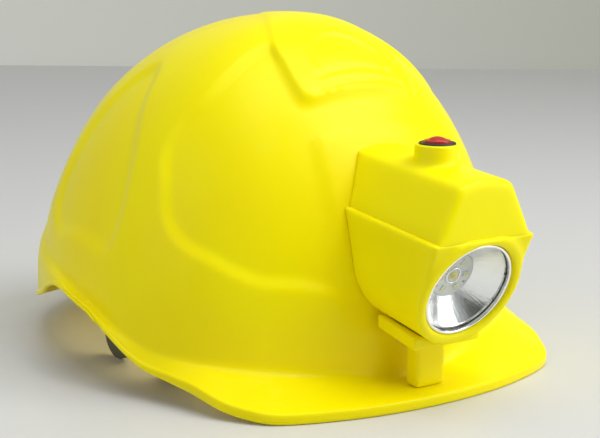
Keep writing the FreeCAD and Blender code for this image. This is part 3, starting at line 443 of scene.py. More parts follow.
def plastic(name, light, deep, roughness, scuffed, wear=0.5, ripple=0.12, gloss=0.5, glow=0.0):
    material, tree, shader, where = principled(name)
    skin = group_node(tree, moulded_skin, {"Vector": where})
    marks = group_node(tree, handling_wear, {"Vector": where, "Amount": wear})
    colour = blend_colours(tree, skin.outputs["Tone"], deep, light)
    colour = blend_colours(tree, times(tree, marks.outputs["Scuff"], 0.35), colour, scuffed)
    tree.links.new(colour, shader.inputs["Base Color"])
    dull = plus(tree, times(tree, marks.outputs["Scuff"], 0.25), roughness)
    tree.links.new(plus(tree, dull, times(tree, marks.outputs["Scratch"], 0.2)), shader.inputs["Roughness"])
    height = plus(tree, skin.outputs["Ripple"], times(tree, marks.outputs["Scratch"], -0.6))
    bump(tree, shader, height, ripple, 0.0006)
    shader.inputs["Specular IOR Level"].default_value = gloss
    shader.inputs["Subsurface Weight"].default_value = glow
    shader.inputs["Subsurface Radius"].default_value = (1.0, 0.8, 0.1)
    shader.inputs["Subsurface Scale"].default_value = 0.004
    return material


finish = {}
finish["cap_yellow"] = plastic("cap_yellow", (1.0, 0.86, 0.0), (0.97, 0.80, 0.0), 0.32, (1.0, 0.90, 0.05),
                               0.6, ripple=0.10, gloss=0.14, glow=0.3)
finish["lamp_yellow"] = plastic("lamp_yellow", (1.0, 0.88, 0.0), (0.98, 0.83, 0.0), 0.36, (1.0, 0.92, 0.06),
                                0.3, ripple=0.08, gloss=0.14, glow=0.3)
for slot, light, deep, roughness, scuffed, wear in (
        ("dark_olive_plastic", (0.10, 0.095, 0.05), (0.06, 0.056, 0.03), 0.5, (0.2, 0.19, 0.14), 0.6),
        ("black_plastic", (0.022, 0.022, 0.022), (0.012, 0.012, 0.012), 0.42, (0.08, 0.08, 0.08), 0.5),
        ("red_plastic", (0.50, 0.028, 0.012), (0.40, 0.016, 0.008), 0.28, (0.6, 0.2, 0.12), 0.5),
        ("red_insulation", (0.5, 0.02, 0.012), (0.4, 0.012, 0.008), 0.4, (0.6, 0.2, 0.15), 0.3),
        ("cell_wrap", (0.03, 0.12, 0.35), (0.02, 0.08, 0.28), 0.3, (0.2, 0.3, 0.5), 0.4),
        ("board_white", (0.88, 0.90, 0.84), (0.80, 0.83, 0.77), 0.4, (0.7, 0.7, 0.66), 0.2),
        ("board_green", (0.012, 0.11, 0.035), (0.008, 0.08, 0.025), 0.35, (0.1, 0.25, 0.15), 0.2),
        ("led_phosphor", (0.95, 0.88, 0.28), (0.90, 0.80, 0.20), 0.3, (0.9, 0.85, 0.5), 0.1),
        ("black_rubber", (0.02, 0.02, 0.02), (0.014, 0.014, 0.014), 0.75, (0.06, 0.06, 0.06), 0.2)):
    finish[slot] = plastic(slot, light, deep, roughness, scuffed, wear)


# %% Metals
def metal(name, light, deep, roughness, grain=0.15, strength=0.1):
    material, tree, shader, where = principled(name)
    cut = group_node(tree, metal_grain, {"Vector": where})
    colour = blend_colours(tree, cut.outputs["Stain"], deep, light)
    tree.links.new(colour, shader.inputs["Base Color"])
    rough = plus(tree, times(tree, cut.outputs["Grain"], grain), roughness)
    tree.links.new(rough, shader.inputs["Roughness"])
    shader.inputs["Metallic"].default_value = 1.0
    bump(tree, shader, cut.outputs["Grain"], strength, 0.0001)
    return material


finish["steel"] = metal("steel", (0.62, 0.63, 0.65), (0.48, 0.49, 0.52), 0.25)
finish["brass"] = metal("brass", (0.80, 0.58, 0.26), (0.66, 0.45, 0.18), 0.25)
finish["aluminium"] = metal("aluminium", (0.80, 0.81, 0.82), (0.68, 0.69, 0.71), 0.35)
finish["silver_trim"] = metal("silver_trim", (0.94, 0.94, 0.95), (0.86, 0.87, 0.89), 0.10, 0.08, 0.03)


# %% [markdown]
# The reflector is plastic with a vacuum-deposited mirror. Its skin shows faint streaks that run from the
# neck to the mouth. The piece stores a direction at each point, so the streaks follow the cone and not the
# room.

# %% Mirror, glass and fabric
def mirror():
    material, tree, shader, _ = principled("mirror_chrome")
    around = put(tree, "ShaderNodeAttribute", attribute_name="around").outputs["Vector"]
    streaks = noise(tree, around, 26, 3, 0.6)
    silver = blend_colours(tree, streaks, (0.86, 0.86, 0.84), (0.97, 0.97, 0.96))
    tree.links.new(silver, shader.inputs["Base Color"])
    tree.links.new(spread(tree, streaks, 0.35, 0.75, 0.02, 0.10), shader.inputs["Roughness"])
    shader.inputs["Metallic"].default_value = 1.0
    bump(tree, shader, streaks, 0.25, 0.0004)
    return material


def clear_plastic():
    """Clear cover: seen as glass, but it lets the lights through to the mirror behind it."""
    material, tree, shader, where = principled("clear_lens")
    smear = noise(tree, where, 60, 4)
    tree.links.new(spread(tree, smear, 0.45, 0.8, 0.01, 0.06), shader.inputs["Roughness"])
    clear = blend_colours(tree, smear, (0.99, 1.0, 0.995), (0.96, 0.98, 0.975))
    tree.links.new(clear, shader.inputs["Base Color"])
    shader.inputs["Transmission Weight"].default_value = 1.0
    shader.inputs["IOR"].default_value = 1.3
    through = put(tree, "ShaderNodeBsdfTransparent")
    rays = put(tree, "ShaderNodeLightPath")
    mixed = put(tree, "ShaderNodeMixShader", {0: rays.outputs["Is Shadow Ray"]})
    tree.links.new(shader.outputs[0], mixed.inputs[1])
    tree.links.new(through.outputs[0], mixed.inputs[2])
    tree.links.new(mixed.outputs[0], tree.nodes["Material Output"].inputs["Surface"])
    return material


def cloth(name, light, deep, across, along, strength):
    """Woven or knitted fabric whose threads follow the piece's own UV map, laid out in metres."""
    material, tree, shader, _ = principled(name)
    uv = put(tree, "ShaderNodeUVMap", uv_map="UVMap").outputs["UV"]
    yarn = group_node(tree, threads, {"Vector": uv, "Across": across, "Along": along})
    # Painted shade: the colour goes to the deep tone where the threads lie low, as shade in the hollows
    # between them, mixed with random tone.
    thread_shade = times(tree, yarn.outputs["Height"], 0.6)
    tone = spread(tree, plus(tree, thread_shade, times(tree, yarn.outputs["Tone"], 0.5)), 0.2, 0.9)
    tree.links.new(blend_colours(tree, tone, deep, light), shader.inputs["Base Color"])
    tree.links.new(spread(tree, yarn.outputs["Height"], 0.0, 1.0, 0.95, 0.75), shader.inputs["Roughness"])
    shader.inputs["Sheen Weight"].default_value = 0.25
    bump(tree, shader, yarn.outputs["Height"], strength, 0.0004)
    return material


finish["mirror_chrome"] = mirror()
finish["clear_lens"] = clear_plastic()
finish["webbing"] = cloth("webbing", (0.05, 0.05, 0.048), (0.018, 0.018, 0.018), 5200, 3100, 0.6)
finish["pad_fabric"] = cloth("pad_fabric", (0.06, 0.06, 0.065), (0.022, 0.022, 0.026), 3600, 3600, 0.5)
print("materials:", len(finish))


def dress(piece, slot):
    piece.data.materials.clear()
    piece.data.materials.append(finish[slot])


# %% [markdown]
# Most CAD nodes keep their own shape and only need a finish. The record says which slot each node has, so a
# loop can hand them all out. Nodes that a modelled piece stands for are hidden later on.

# %% Give every CAD node its finish
for entry in frame["record"]["subparts"]:
    dress(nodes[entry["node"]], entry["material_slot"])

# %% [markdown]
# ## The cap's shape
# The cap is one moulded skin: a long dome, a peak in front, a skirt behind and a lip round the edge. It
# could be sculpted, but its form follows a formula: a superellipse seen from above, rising in a rounded
# arch. So a flat sheet of squares is added, and each of its points is sent to its place: rolled once round
# the cap, out from the crown to the lip, and back up the inside. The sheet's seam and its two gathered ends
# are then welded.

# %% The dome's formula
DOME_HALF_W = 103.3
DOME_FRONT = 89.2
DOME_REAR = 145.6
DOME_HEIGHT = 142.1
DOME_BASE_Z = 15.4
SKIRT_FLARE = 4.0
PLAN_POWER = 2.22
RISE_POWER = 2.05
WALL = 2.4
LIP_ROUND = 1.2
DOME_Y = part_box("helmet_shell")[1].y / MM - DOME_REAR - SKIRT_FLARE


def dome_point(around, down):
    """Point on the dome: degrees round from the front (+ to +X), and degrees down from the crown."""
    a, d = np.broadcast_arrays(np.radians(around), np.radians(down))
    x = np.sign(np.sin(a)) * np.abs(np.sin(a)) ** (2 / PLAN_POWER)
    y = -np.sign(np.cos(a)) * np.abs(np.cos(a)) ** (2 / PLAN_POWER)
    out = np.sin(d) ** (2 / RISE_POWER)
    rise = np.maximum(np.cos(d), 0) ** (2 / RISE_POWER)
    length = np.where(np.cos(a) > 0, DOME_FRONT, DOME_REAR)
    return np.stack([DOME_HALF_W * x * out, DOME_Y + length * y * out, DOME_BASE_Z + DOME_HEIGHT * rise], -1)


def above_dome(co):
    """Roughly how far points, in millimetres, stand off the dome."""
    x = np.abs(co[:, 0]) / DOME_HALF_W
    y = co[:, 1] - DOME_Y
    y = np.abs(y) / np.where(y < 0, DOME_FRONT, DOME_REAR)
    flat = (x ** PLAN_POWER + y ** PLAN_POWER) ** (RISE_POWER / PLAN_POWER)
    rise = np.maximum((co[:, 2] - DOME_BASE_Z) / DOME_HEIGHT, 0) ** RISE_POWER
    return ((flat + rise) ** (1 / RISE_POWER) - 1) * DOME_FRONT


print("dome centre y:", round(DOME_Y, 2), "mm")

# %% [markdown]
# The rim changes all the way round: the peak stands far out and low in front, the edge arches up over the
# ears, and the skirt drops behind. Short tables of (degrees, value) pairs say how, and a smooth step joins
# each pair.

# %% The rim's tables
CREASE_Z = [(0, 6.4), (18, 11), (36, 15), (50, 17.5), (66, 20), (81, 27), (92, 33.5), (102, 40),
            (113, 43.5), (126, 51), (150, 54), (180, 52)]
EDGE_Z = [(0, 0), (32, 0), (42, 2), (52, 6.8), (60, 9.6), (67, 11.8), (74, 16.8), (82, 24), (91, 31.5),
          (101, 35.5), (107, 32), (112, 26), (121, 20), (131, 14.5), (141, 10.5), (153, 7.5), (180, 5)]
PEAK_OUT = [(0, 26), (20, 26.2), (34, 27.2), (45, 20.5), (56, 9.8), (67, 5.8), (100, 5), (120, 3.2),
            (150, 3.4), (180, SKIRT_FLARE)]
LIP_H = [(0, 5), (50, 5), (64, 4), (76, 2.6), (180, 2.6)]


def table_value(table, around):
    """Smooth value at each angle from listed pairs; it never overshoots a pair."""
    angle = np.abs((np.asarray(around, float) + 180) % 360 - 180)
    xs, vs = np.array(table, float).T
    steps = np.diff(vs) / np.diff(xs)
    turns_back = steps[1:] * steps[:-1] <= 0
    both = np.where(turns_back, 1, steps[1:] + steps[:-1])
    inner = np.where(turns_back, 0, 2 * steps[1:] * steps[:-1] / both)
    slopes = np.concatenate([[0], inner, [0]])
    k = np.clip(np.searchsorted(xs, angle) - 1, 0, len(xs) - 2)
    t = (angle - xs[k]) / (xs[k + 1] - xs[k])
    bend = slopes[k] * t * (1 - t) ** 2 - slopes[k + 1] * t * t * (1 - t)
    return vs[k] + (vs[k + 1] - vs[k]) * t * t * (3 - 2 * t) + (xs[k + 1] - xs[k]) * bend


def rim_point(around, out, z):
    """Point on the dome's outline seen from above, moved outward by out and set at height z."""
    base = dome_point(around, 90.0)
    x = base[:, 0] / DOME_HALF_W
    length = np.where(base[:, 1] < DOME_Y, DOME_FRONT, DOME_REAR)
    y = (base[:, 1] - DOME_Y) / length
    nx = np.sign(x) * np.abs(x) ** (PLAN_POWER - 1) / DOME_HALF_W
    ny = np.sign(y) * np.abs(y) ** (PLAN_POWER - 1) / length
    n = np.hypot(nx, ny)
    return np.stack([base[:, 0] + out * nx / n, base[:, 1] + out * ny / n, z * np.ones(len(base))], -1)


# %% [markdown]
# ## Raised and sunk panels
# The crown is stiffened by steps a couple of millimetres high: a band that runs over the top and down each
# side, a shield in front of the crown, and a broad sunk panel on each side of the brow and behind the ears.
# Each panel is outlined by a few points. A surface point knows how far inside an outline it is, and that
# distance drives a soft step, so the edge is equally wide everywhere.

# %% Panel outlines, as (degrees round, degrees down)
BROW_PANEL = [(12, 78), (20, 77), (35, 75.5), (43, 74), (50, 72), (58, 70), (64, 67.5), (68, 64), (70.5, 59),
              (74, 53), (72, 47), (66, 41), (59, 33), (50, 26), (41, 24.5), (34, 31), (29, 36.5), (24, 40.5),
              (12, 39.5)]
EAR_PANEL = [(108, 73), (101, 72), (95, 72.5), (90, 73), (87, 70), (86, 65), (87, 60), (90, 53), (95, 44),
             (101, 36), (107, 34), (113, 39), (117, 48), (118, 58), (117, 68), (113, 72)]
REAR_PANEL = [(127, 52), (131, 50), (135, 53), (135, 66), (131, 69), (127, 66)]
SHIELD = [(12, 38.5), (23, 39.5), (28, 35.5), (33, 30), (41, 23.5), (83, 8), (150, 6)]
BROW_STEP = 7.0
EAR_STEP = 8.5


def both_sides(half):
    """Outline that crosses the middle line: one half, then its mirror image."""
    return half + [(-around, down) for around, down in half[::-1]]


def smooth_outline(points, per_span=14):
    """Closed smooth curve through chart points, as chart x, y."""
    pts = np.array([(d * math.sin(math.radians(a)), -d * math.cos(math.radians(a))) for a, d in points])
    before, after, beyond = np.roll(pts, 1, 0), np.roll(pts, -1, 0), np.roll(pts, -2, 0)
    t = np.linspace(0, 1, per_span, endpoint=False)[None, :, None]
    p0, p1, p2, p3 = (p[:, None, :] for p in (before, pts, after, beyond))
    curve = 0.5 * (2 * p1 + (p2 - p0) * t + (2 * p0 - 5 * p1 + 4 * p2 - p3) * t ** 2
                   + (3 * p1 - p0 - 3 * p2 + p3) * t ** 3)
    return curve.reshape(-1, 2)


def chart_to_cap(chart):
    return dome_point(np.degrees(np.arctan2(chart[:, 0], -chart[:, 1])), np.hypot(chart[:, 0], chart[:, 1]))


def inside(chart, outline):
    """Which chart points lie inside a closed outline."""
    odd = np.zeros(len(chart), bool)
    for (xa, ya), (xb, yb) in zip(outline, np.roll(outline, -1, 0)):
        crosses = (ya > chart[:, 1]) != (yb > chart[:, 1])
        where = (xb - xa) * (chart[:, 1] - ya) / (yb - ya if yb != ya else 1e-9) + xa
        odd ^= crosses & (chart[:, 0] < where)
    return odd


def inset_of(chart, co, points):
    """Distance in millimetres inside an outline, negative outside."""
    outline = smooth_outline(points)
    edge = chart_to_cap(outline)
    nearest = np.concatenate([((part[:, None, :] - edge[None]) ** 2).sum(-1).argmin(1)
                              for part in np.array_split(co, max(1, len(co) // 4000))])
    gap = np.full(len(co), np.inf)
    for ahead in (-1, 1):
        run = edge[(nearest + ahead) % len(edge)] - edge[nearest]
        away = co - edge[nearest]
        share = np.clip((away * run).sum(-1) / np.maximum((run ** 2).sum(-1), 1e-9), 0, 1)
        gap = np.minimum(gap, np.linalg.norm(away - run * share[:, None], axis=-1))
    return np.where(inside(chart, outline), gap, -gap)


def soft_step(value, low, high):
    t = np.clip((value - low) / (high - low), 0, 1)
    return t * t * (3 - 2 * t)


# %% [markdown]
# The lamp's case sits on bare dome, so the relief fades to nothing beneath it. The shield carries three
# louvres: a half-moon pocket and two shallow shelves below it. Each drops from a rounded upper lip and runs
# out gently downward.

# %% How far each point of the dome stands proud
BAND_PROUD = 0.8
SHIELD_PROUD = 1.5
PANEL_SUNK = -1.1
LOUVRES = [(-29.5, 9.2, 18.6, 1.3, 16.0), (-46.6, 0.5, 21.0, 0.9, 4.5), (-51.2, 0.0, 25.0, 0.9, 4.5)]
LOUVRE_LIP = 2.6
LOUVRE_STRETCH = 1.35
CASE_SIDE_FADE = (1, 9)
CASE_FOOT_FADE = (-2, 14)
CASE_TOP_FADE = (108, 120)
CASE_BACK_MARGIN = 14


def louvre_depth(co):
    """Each louvre drops sharply below its upper lip and runs out downward over its length."""
    depth = np.zeros(len(co))
    for top_y, bow, half, deep, run in LOUVRES:
        across = co[:, 0] / half
        below = (DOME_Y + top_y - bow * across ** 2 - co[:, 1]) * LOUVRE_STRETCH
        shape = soft_step(below, 0.0, LOUVRE_LIP) * (1 - soft_step(below, LOUVRE_LIP, run))
        depth += deep * shape * (1 - soft_step(np.abs(across), 0.88, 1.04))
    return depth * (co[:, 2] > DOME_HEIGHT * 0.7)


def relief(around, down, co):
    chart = np.stack([down * np.sin(np.radians(around)), -down * np.cos(np.radians(around))], -1)
    shield = soft_step(inset_of(chart, co, both_sides(SHIELD)), -2.0, 1.5)
    proud = BAND_PROUD + (SHIELD_PROUD - BAND_PROUD) * shield
    sunk = soft_step(inset_of(chart, co, both_sides(BROW_PANEL)), -BROW_STEP / 2, BROW_STEP / 2)
    for outline in (EAR_PANEL, REAR_PANEL):
        for side in (1, -1):
            inset = inset_of(chart * (side, 1), co * (side, 1, 1), outline)
            sunk = np.maximum(sunk, soft_step(inset, -EAR_STEP / 2, EAR_STEP / 2))
    proud += (PANEL_SUNK - BAND_PROUD) * sunk * (1 - shield)
    low, high = (np.array(v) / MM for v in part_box("lamp_lower_housing"))
    beside = 1 - soft_step(np.abs(co[:, 0]) - high[0], *CASE_SIDE_FADE)
    over_foot = soft_step(co[:, 2] - low[2], *CASE_FOOT_FADE)
    under_top = 1 - soft_step(co[:, 2], *CASE_TOP_FADE)
    near_case = beside * over_foot * under_top * (co[:, 1] < high[1] + CASE_BACK_MARGIN)
    return proud * (1 - near_case) - louvre_depth(co)


# %% [markdown]
# ## Rolling the sheet
# Each column of squares runs from the crown down the outside, across the peak or the skirt, round the lip
# and up the inside. The dome's rows are pushed out or in by the relief along the surface's own normal. The
# inside follows the outside at the thickness of the wall, as it does in a mould.

# %% Rows of the sheet, from the crown outward and back
COLUMNS = 440
DOME_ROWS = 118
BRIM_ROWS = 12
INSIDE_ROWS = 40
UNDER_ROWS = 7
FLARE_FROM = 66
FLARE_TO = 100
FLARE_SHARP = 3
around = np.arange(COLUMNS) * 360.0 / COLUMNS


def grid_normals(rows):
    """Outward normal at each point of a stack of rings."""
    along = np.gradient(rows, axis=0)
    across = np.roll(rows, -1, 1) - np.roll(rows, 1, 1)
    normal = np.cross(across, along)
    normal = normal / np.maximum(np.linalg.norm(normal, axis=-1, keepdims=True), 1e-9)
    normal *= np.sign((normal[DOME_ROWS // 2] * (rows[DOME_ROWS // 2] - (0, DOME_Y, 60))).sum())
    normal[0] = (0, 0, 1)
    return normal


def dome_rows():
    crease_z = table_value(CREASE_Z, around)
    rise = np.maximum(crease_z - DOME_BASE_Z, 0) / DOME_HEIGHT
    last = np.degrees(np.arccos(rise ** (RISE_POWER / 2)))
    rings, downs = [], []
    for k in range(DOME_ROWS):
        share = k / (DOME_ROWS - 1)
        down = last * share
        ring = dome_point(around, down)
        ring[:, 2] -= np.maximum(DOME_BASE_Z - crease_z, 0) * np.clip((share - 0.9) / 0.1, 0, 1)
        rings.append(ring)
        downs.append(down)
    return np.array(rings), np.array(downs)


def lip_rows():
    """Rows over the lip's rounded top edge, down its face, round its foot and up behind it."""
    out, z0 = table_value(PEAK_OUT, around), table_value(EDGE_Z, around)
    top = z0 + table_value(LIP_H, around)
    rows = [rim_point(around, out - LIP_ROUND * (1 - math.sin(t)), top - LIP_ROUND * (1 - math.cos(t)))
            for t in np.radians((0, 30, 60, 90))]
    foot = WALL / 2
    drop = z0 + foot - top + LIP_ROUND
    rows += [rim_point(around, out, top - LIP_ROUND + drop * share) for share in (0.33, 0.66)]
    rows += [rim_point(around, out - foot * (1 - math.cos(t)), z0 + foot * (1 - math.sin(t)))
             for t in np.radians((0, 45, 90, 135, 180))]
    rows += [rim_point(around, out - WALL, np.maximum(top - WALL, z0 + foot + 0.1))]
    return np.array(rows)


def relax(rows, middle_row, reach, passes):
    """Round a corner between rows by averaging each with its neighbours, most at the corner itself."""
    for _ in range(passes):
        part = rows[middle_row - reach:middle_row + reach + 1]
        smooth = (part[:-2] + part[2:]) / 2
        weight = 0.5 * (1 - np.abs(np.linspace(-1, 1, len(smooth))) ** 2)[:, None, None]
        part[1:-1] += (smooth - part[1:-1]) * weight
    return rows


bare, downs = dome_rows()
bare_normals = grid_normals(bare)
proud = relief(np.tile(around, DOME_ROWS), downs.ravel(), bare.reshape(-1, 3)).reshape(DOME_ROWS, COLUMNS, 1)
dome = bare + bare_normals * proud
lip = lip_rows()
shares = np.linspace(0, 1, BRIM_ROWS + 1)[1:-1, None, None]
from_front = np.abs((around + 180) % 360 - 180)
flare = 1 + FLARE_SHARP * soft_step(from_front, FLARE_FROM, FLARE_TO)[None, :, None]
sideways = np.array([1, 1, 0])
brim = dome[-1] + (lip[0] - dome[-1]) * np.where(sideways, 1 - (1 - shares) ** flare, shares)
outside = relax(np.concatenate([dome, brim, lip]), DOME_ROWS - 1, 3, 2)

under_rows = np.linspace(DOME_ROWS + len(brim) - 2, DOME_ROWS, UNDER_ROWS).astype(int)
in_rows = np.linspace(DOME_ROWS - 2, 0, INSIDE_ROWS).astype(int)
inner = (outside - grid_normals(outside) * WALL)[np.concatenate([under_rows, in_rows])]
sheet = np.concatenate([outside, inner])
print("sheet of", len(sheet), "rows by", COLUMNS, "columns")


# %% Add the sheet and send its points to their places
def rolled(name, rows):
    """Grid primitive whose columns run round the cap and whose rows are the given rings."""
    count, columns = rows.shape[:2]
    clear_picks()
    bpy.ops.mesh.primitive_grid_add(x_subdivisions=columns, y_subdivisions=count - 1, size=1)
    piece = named(name)
    co = points_of(piece)
    column = np.rint((co[:, 0] + 0.5) * columns).astype(int) % columns
    row = np.rint((co[:, 1] + 0.5) * (count - 1)).astype(int)
    move_points(piece, rows[row, column] * MM)
    return tidy(piece)


cap_shell = rolled("cap_shell", sheet)
finish_piece(cap_shell, "cap", "cap_yellow", "helmet_shell")


# %% [markdown]
# ## The lamp's case
# CAD gives the two shells, the foot plate and the post their true form with sharp edges. A moulding has
# soft ones. A bevel struggles where many curved faces meet, so a copy of each is rebuilt out of small even
# squares and then relaxed, which rounds every edge by about the same amount. The edges that seat on the
# dome are left almost alone, and the upper shell's foot is slid a little way down inside the lower one, so
# that no gap opens between them.

# %% Soften a copy of a CAD node
SEAT_KEEP = 2.2
SEAM_Y = (-137.3, -66.0)
SEAM_Z = (75.5, 83.1)
FOOT_BAND = 0.3
BOSS_KEEP_R = 11
BOSS_KEEP_H = 4


def above_seam(co):
    """Height of points over the joint between the lamp's two shells, in millimetres."""
    share = (co[:, 1] - DOME_Y - SEAM_Y[0]) / (SEAM_Y[1] - SEAM_Y[0])
    return co[:, 2] - SEAM_Z[0] - (SEAM_Z[1] - SEAM_Z[0]) * share


def softened(name, node, voxel, passes, tuck=0.0):
    """Copy of a node with rounded edges; tuck slides the upper shell's foot down inside the lower one."""
    piece = bpy.data.objects.new(name, nodes[node].data.copy())
    piece.data.name = name
    scene.collection.objects.link(piece)
    edit(piece)
    bpy.ops.mesh.remove_doubles(threshold=1e-6)
    bpy.ops.object.mode_set(mode="OBJECT")
    modify(piece, "REMESH", mode="VOXEL", voxel_size=voxel * MM)
    co = points_of(piece) / MM
    foot = (above_seam(co) < 0.75 * voxel + FOOT_BAND) & (above_dome(co) > 0) & (tuck > 0)
    co[foot, 2] -= tuck
    move_points(piece, co * MM)
    switch = middle("switch_button") / MM
    on_boss = np.hypot(co[:, 0], co[:, 1] - switch.y) < BOSS_KEEP_R
    on_boss &= co[:, 2] > switch.z - BOSS_KEEP_H
    loose = np.flatnonzero((above_dome(co) > SEAT_KEEP) & ~on_boss & ~foot)
    free = piece.vertex_groups.new(name="free")
    free.add([int(i) for i in loose], 1.0, "REPLACE")
    modify(piece, "SMOOTH", factor=0.5, iterations=passes, vertex_group="free")
    modify(piece, "SMOOTH", factor=0.5, iterations=3)
    piece.vertex_groups.clear()
    pick(piece)
    bpy.ops.object.shade_smooth()
    return piece


CASE_PIECES = (("lower_case", "lamp_lower_housing", "lamp_yellow", 0.65, 60, 0),
               ("upper_case", "lamp_upper_housing", "lamp_yellow", 0.65, 100, 1.8),
               ("foot_rest", "foot_plate", "lamp_yellow", 0.45, 14, 0),
               ("peak_post", "support_post", "cap_yellow", 0.45, 55, 0))
for name, node, slot, voxel, passes, tuck in CASE_PIECES:
    piece = softened(name, node, voxel, passes, tuck)
    dress(piece, slot)
    finish_piece(piece, "cap", slot, node)


# %% [markdown]
# ## Round pieces
# A trim ring, a mirror bowl, a button and a bush are all turned shapes. A circle is added at the first
# point of the outline, then extruded, resized and shifted to each next point, as a lathe tool follows a
# template.

# %% Turn an outline
def turned(name, outline, segments=96, solid=False, angle=50):
    """Round piece from (radius, z) in millimetres; a solid's ends are filled, a ring ends where it began."""
    clear_picks()
    last_r, last_z = outline[0]
    filling = "NGON" if solid else "NOTHING"
    bpy.ops.mesh.primitive_circle_add(vertices=segments, radius=last_r * MM, fill_type=filling)
    piece = named(name)
    edit(piece)
    bpy.ops.mesh.select_mode(type="VERT")
    bpy.ops.mesh.select_all(action="SELECT")
    bpy.ops.transform.translate(value=(0, 0, last_z * MM))
    for r, z in outline[1:]:
        bpy.ops.mesh.extrude_region_move()
        bpy.ops.transform.resize(value=(r / last_r, r / last_r, 1), center_override=(0, 0, last_z * MM))
        bpy.ops.transform.translate(value=(0, 0, (z - last_z) * MM))
        last_r, last_z = r, z
    return tidy(piece, angle, 2e-7)


def arc(centre_r, centre_z, radius, start, end, steps):
    """Points along an arc of the outline, angles in degrees from outward, anticlockwise."""
    turns = [math.radians(start + (end - start) * k / steps) for k in range(steps + 1)]
    return [(centre_r + radius * math.cos(turn), centre_z + radius * math.sin(turn)) for turn in turns]


# %% Place a turned piece in the lamp's mouth
LENS_TILT = math.radians(23)
TRIM_T = 1.4
mouth_out = Vector((0, -math.cos(LENS_TILT), -math.sin(LENS_TILT)))
mouth = middle("trim_ring") + mouth_out * TRIM_T * MM / 2


def in_mouth(piece, slot, node):
    """Tip a piece modelled with +Z out of the lamp, origin at the trim ring's front, into its place."""
    pick(piece)
    piece.matrix_world = Matrix.Translation(mouth) @ Matrix.Rotation(math.radians(90) + LENS_TILT, 4, "X")
    bpy.ops.object.transform_apply(location=True, rotation=True, scale=True)
    finish_piece(piece, "cap", slot, node)


LENS_R = 21.9
MOUTH_R = 20.7
LENS_BACK = -2.8
FLANGE_Z = -3.6
NECK_R = 10.6
BOARD_Z = -12.0

trim = turned("lens_ring", [(MOUTH_R, -TRIM_T)] + arc(MOUTH_R + 0.4, -0.4, 0.4, 180, 90, 4)
              + arc(LENS_R - 0.4, -0.4, 0.4, 90, 0, 4) + [(LENS_R, -TRIM_T), (MOUTH_R, -TRIM_T)])
in_mouth(trim, "silver_trim", "trim_ring")

cover = turned("lens_cover", [(LENS_R - 0.3, -TRIM_T - 0.02), (LENS_R - 0.05, -TRIM_T - 0.3),
                              (LENS_R - 0.05, LENS_BACK)], 96, True, 20)
in_mouth(cover, "clear_lens", "lens")

# %% [markdown]
# The mirror bowl is a cone that opens in a gentle curve. It stores, at each point, its direction round the
# axis and its depth, stretched so that the streaks in the mirror's finish run lengthwise.

# %% Mirror bowl
BOWL_STEPS = 18
bowl = []
for k in range(BOWL_STEPS + 1):
    t = k / BOWL_STEPS
    bowl.append((MOUTH_R + (NECK_R - MOUTH_R) * (0.8 * t + 0.2 * t * t), FLANGE_Z + (BOARD_Z - FLANGE_Z) * t))
outer = [(r + 1.0, z - 0.4) for r, z in bowl[::-1] if z < FLANGE_Z - 1.2]
rim = [(LENS_R, FLANGE_Z), (MOUTH_R + 0.2, FLANGE_Z), (MOUTH_R + 0.2, LENS_BACK - 0.05),
       (MOUTH_R, LENS_BACK - 0.05)]
neck = [(NECK_R, BOARD_Z - 2.6), (NECK_R + 1, BOARD_Z - 2.6)]
flange = [(LENS_R - 0.4, FLANGE_Z - 1.1), (LENS_R, FLANGE_Z - 1.1), (LENS_R, FLANGE_Z)]
reflector = turned("mirror_bowl", rim + bowl + neck + outer + flange, 128)
co = points_of(reflector)
turn = np.arctan2(co[:, 1], co[:, 0])
around_mouth = np.stack([np.cos(turn), np.sin(turn), co[:, 2] / MM * 0.02], -1)
store = reflector.data.attributes.new("around", "FLOAT_VECTOR", "POINT")
store.data.foreach_set("vector", around_mouth.astype(np.float32).ravel())
in_mouth(reflector, "mirror_chrome", "reflector")

# %% [markdown]
# In the bowl's neck sits a round board. A bead in a bright ring is the main light, and six small flat
# lights stand round it. Each small light is a white tray filled with yellow gel.

# %% The lights on the board
bead = turned("main_light", arc(0, BOARD_Z + 0.75, 1.25, 80, 0, 6)
              + [(1.7, BOARD_Z + 0.7), (1.75, BOARD_Z + 0.6), (1.75, BOARD_Z)], 48, True)
in_mouth(bead, "led_phosphor", "main_led")

RING_IN_R = 3.2
RING_OUT_R = 3.9
RING_H = 0.35
ring_outline = [(RING_IN_R, BOARD_Z)]
ring_outline += arc((RING_IN_R + RING_OUT_R) / 2, BOARD_Z + RING_H, RING_H, 180, 0, 8)
ring_outline += [(RING_OUT_R, BOARD_Z), (RING_IN_R, BOARD_Z)]
ring = turned("light_ring", ring_outline, 64)
in_mouth(ring, "silver_trim", "led_ring")

TRAY = (2.8, 2.0, 0.8)
TRAY_WALL = 0.35
GEL_SUNK = 0.15
SMALL_LIGHTS = 6
SMALL_LIGHT_R = 6.9
clear_picks()
bpy.ops.mesh.primitive_cube_add(size=1)
tray = named("small_lights")
edit(tray)
bpy.ops.transform.resize(value=tuple(v * MM for v in TRAY))
bpy.ops.mesh.select_all(action="DESELECT")
bpy.ops.object.mode_set(mode="OBJECT")
for face in tray.data.polygons:
    face.select = face.normal.z > 0.9
bpy.ops.object.mode_set(mode="EDIT")
bpy.ops.mesh.select_mode(type="FACE")
bpy.ops.mesh.inset(thickness=TRAY_WALL * MM)
bpy.ops.mesh.extrude_region_move(TRANSFORM_OT_translate={"value": (0, 0, -GEL_SUNK * MM)})
bpy.ops.object.mode_set(mode="OBJECT")
dress(tray, "board_white")
tray.data.materials.append(finish["led_phosphor"])
for face in tray.data.polygons:
    flat_top = face.normal.z > 0.9 and face.center.z < TRAY[2] / 2 * MM - 0.1 * MM
    face.material_index = 1 if flat_top else 0
trays = [tray]
for _ in range(1, SMALL_LIGHTS):
    extra = tray.copy()
    extra.data = tray.data.copy()
    scene.collection.objects.link(extra)
    trays.append(extra)
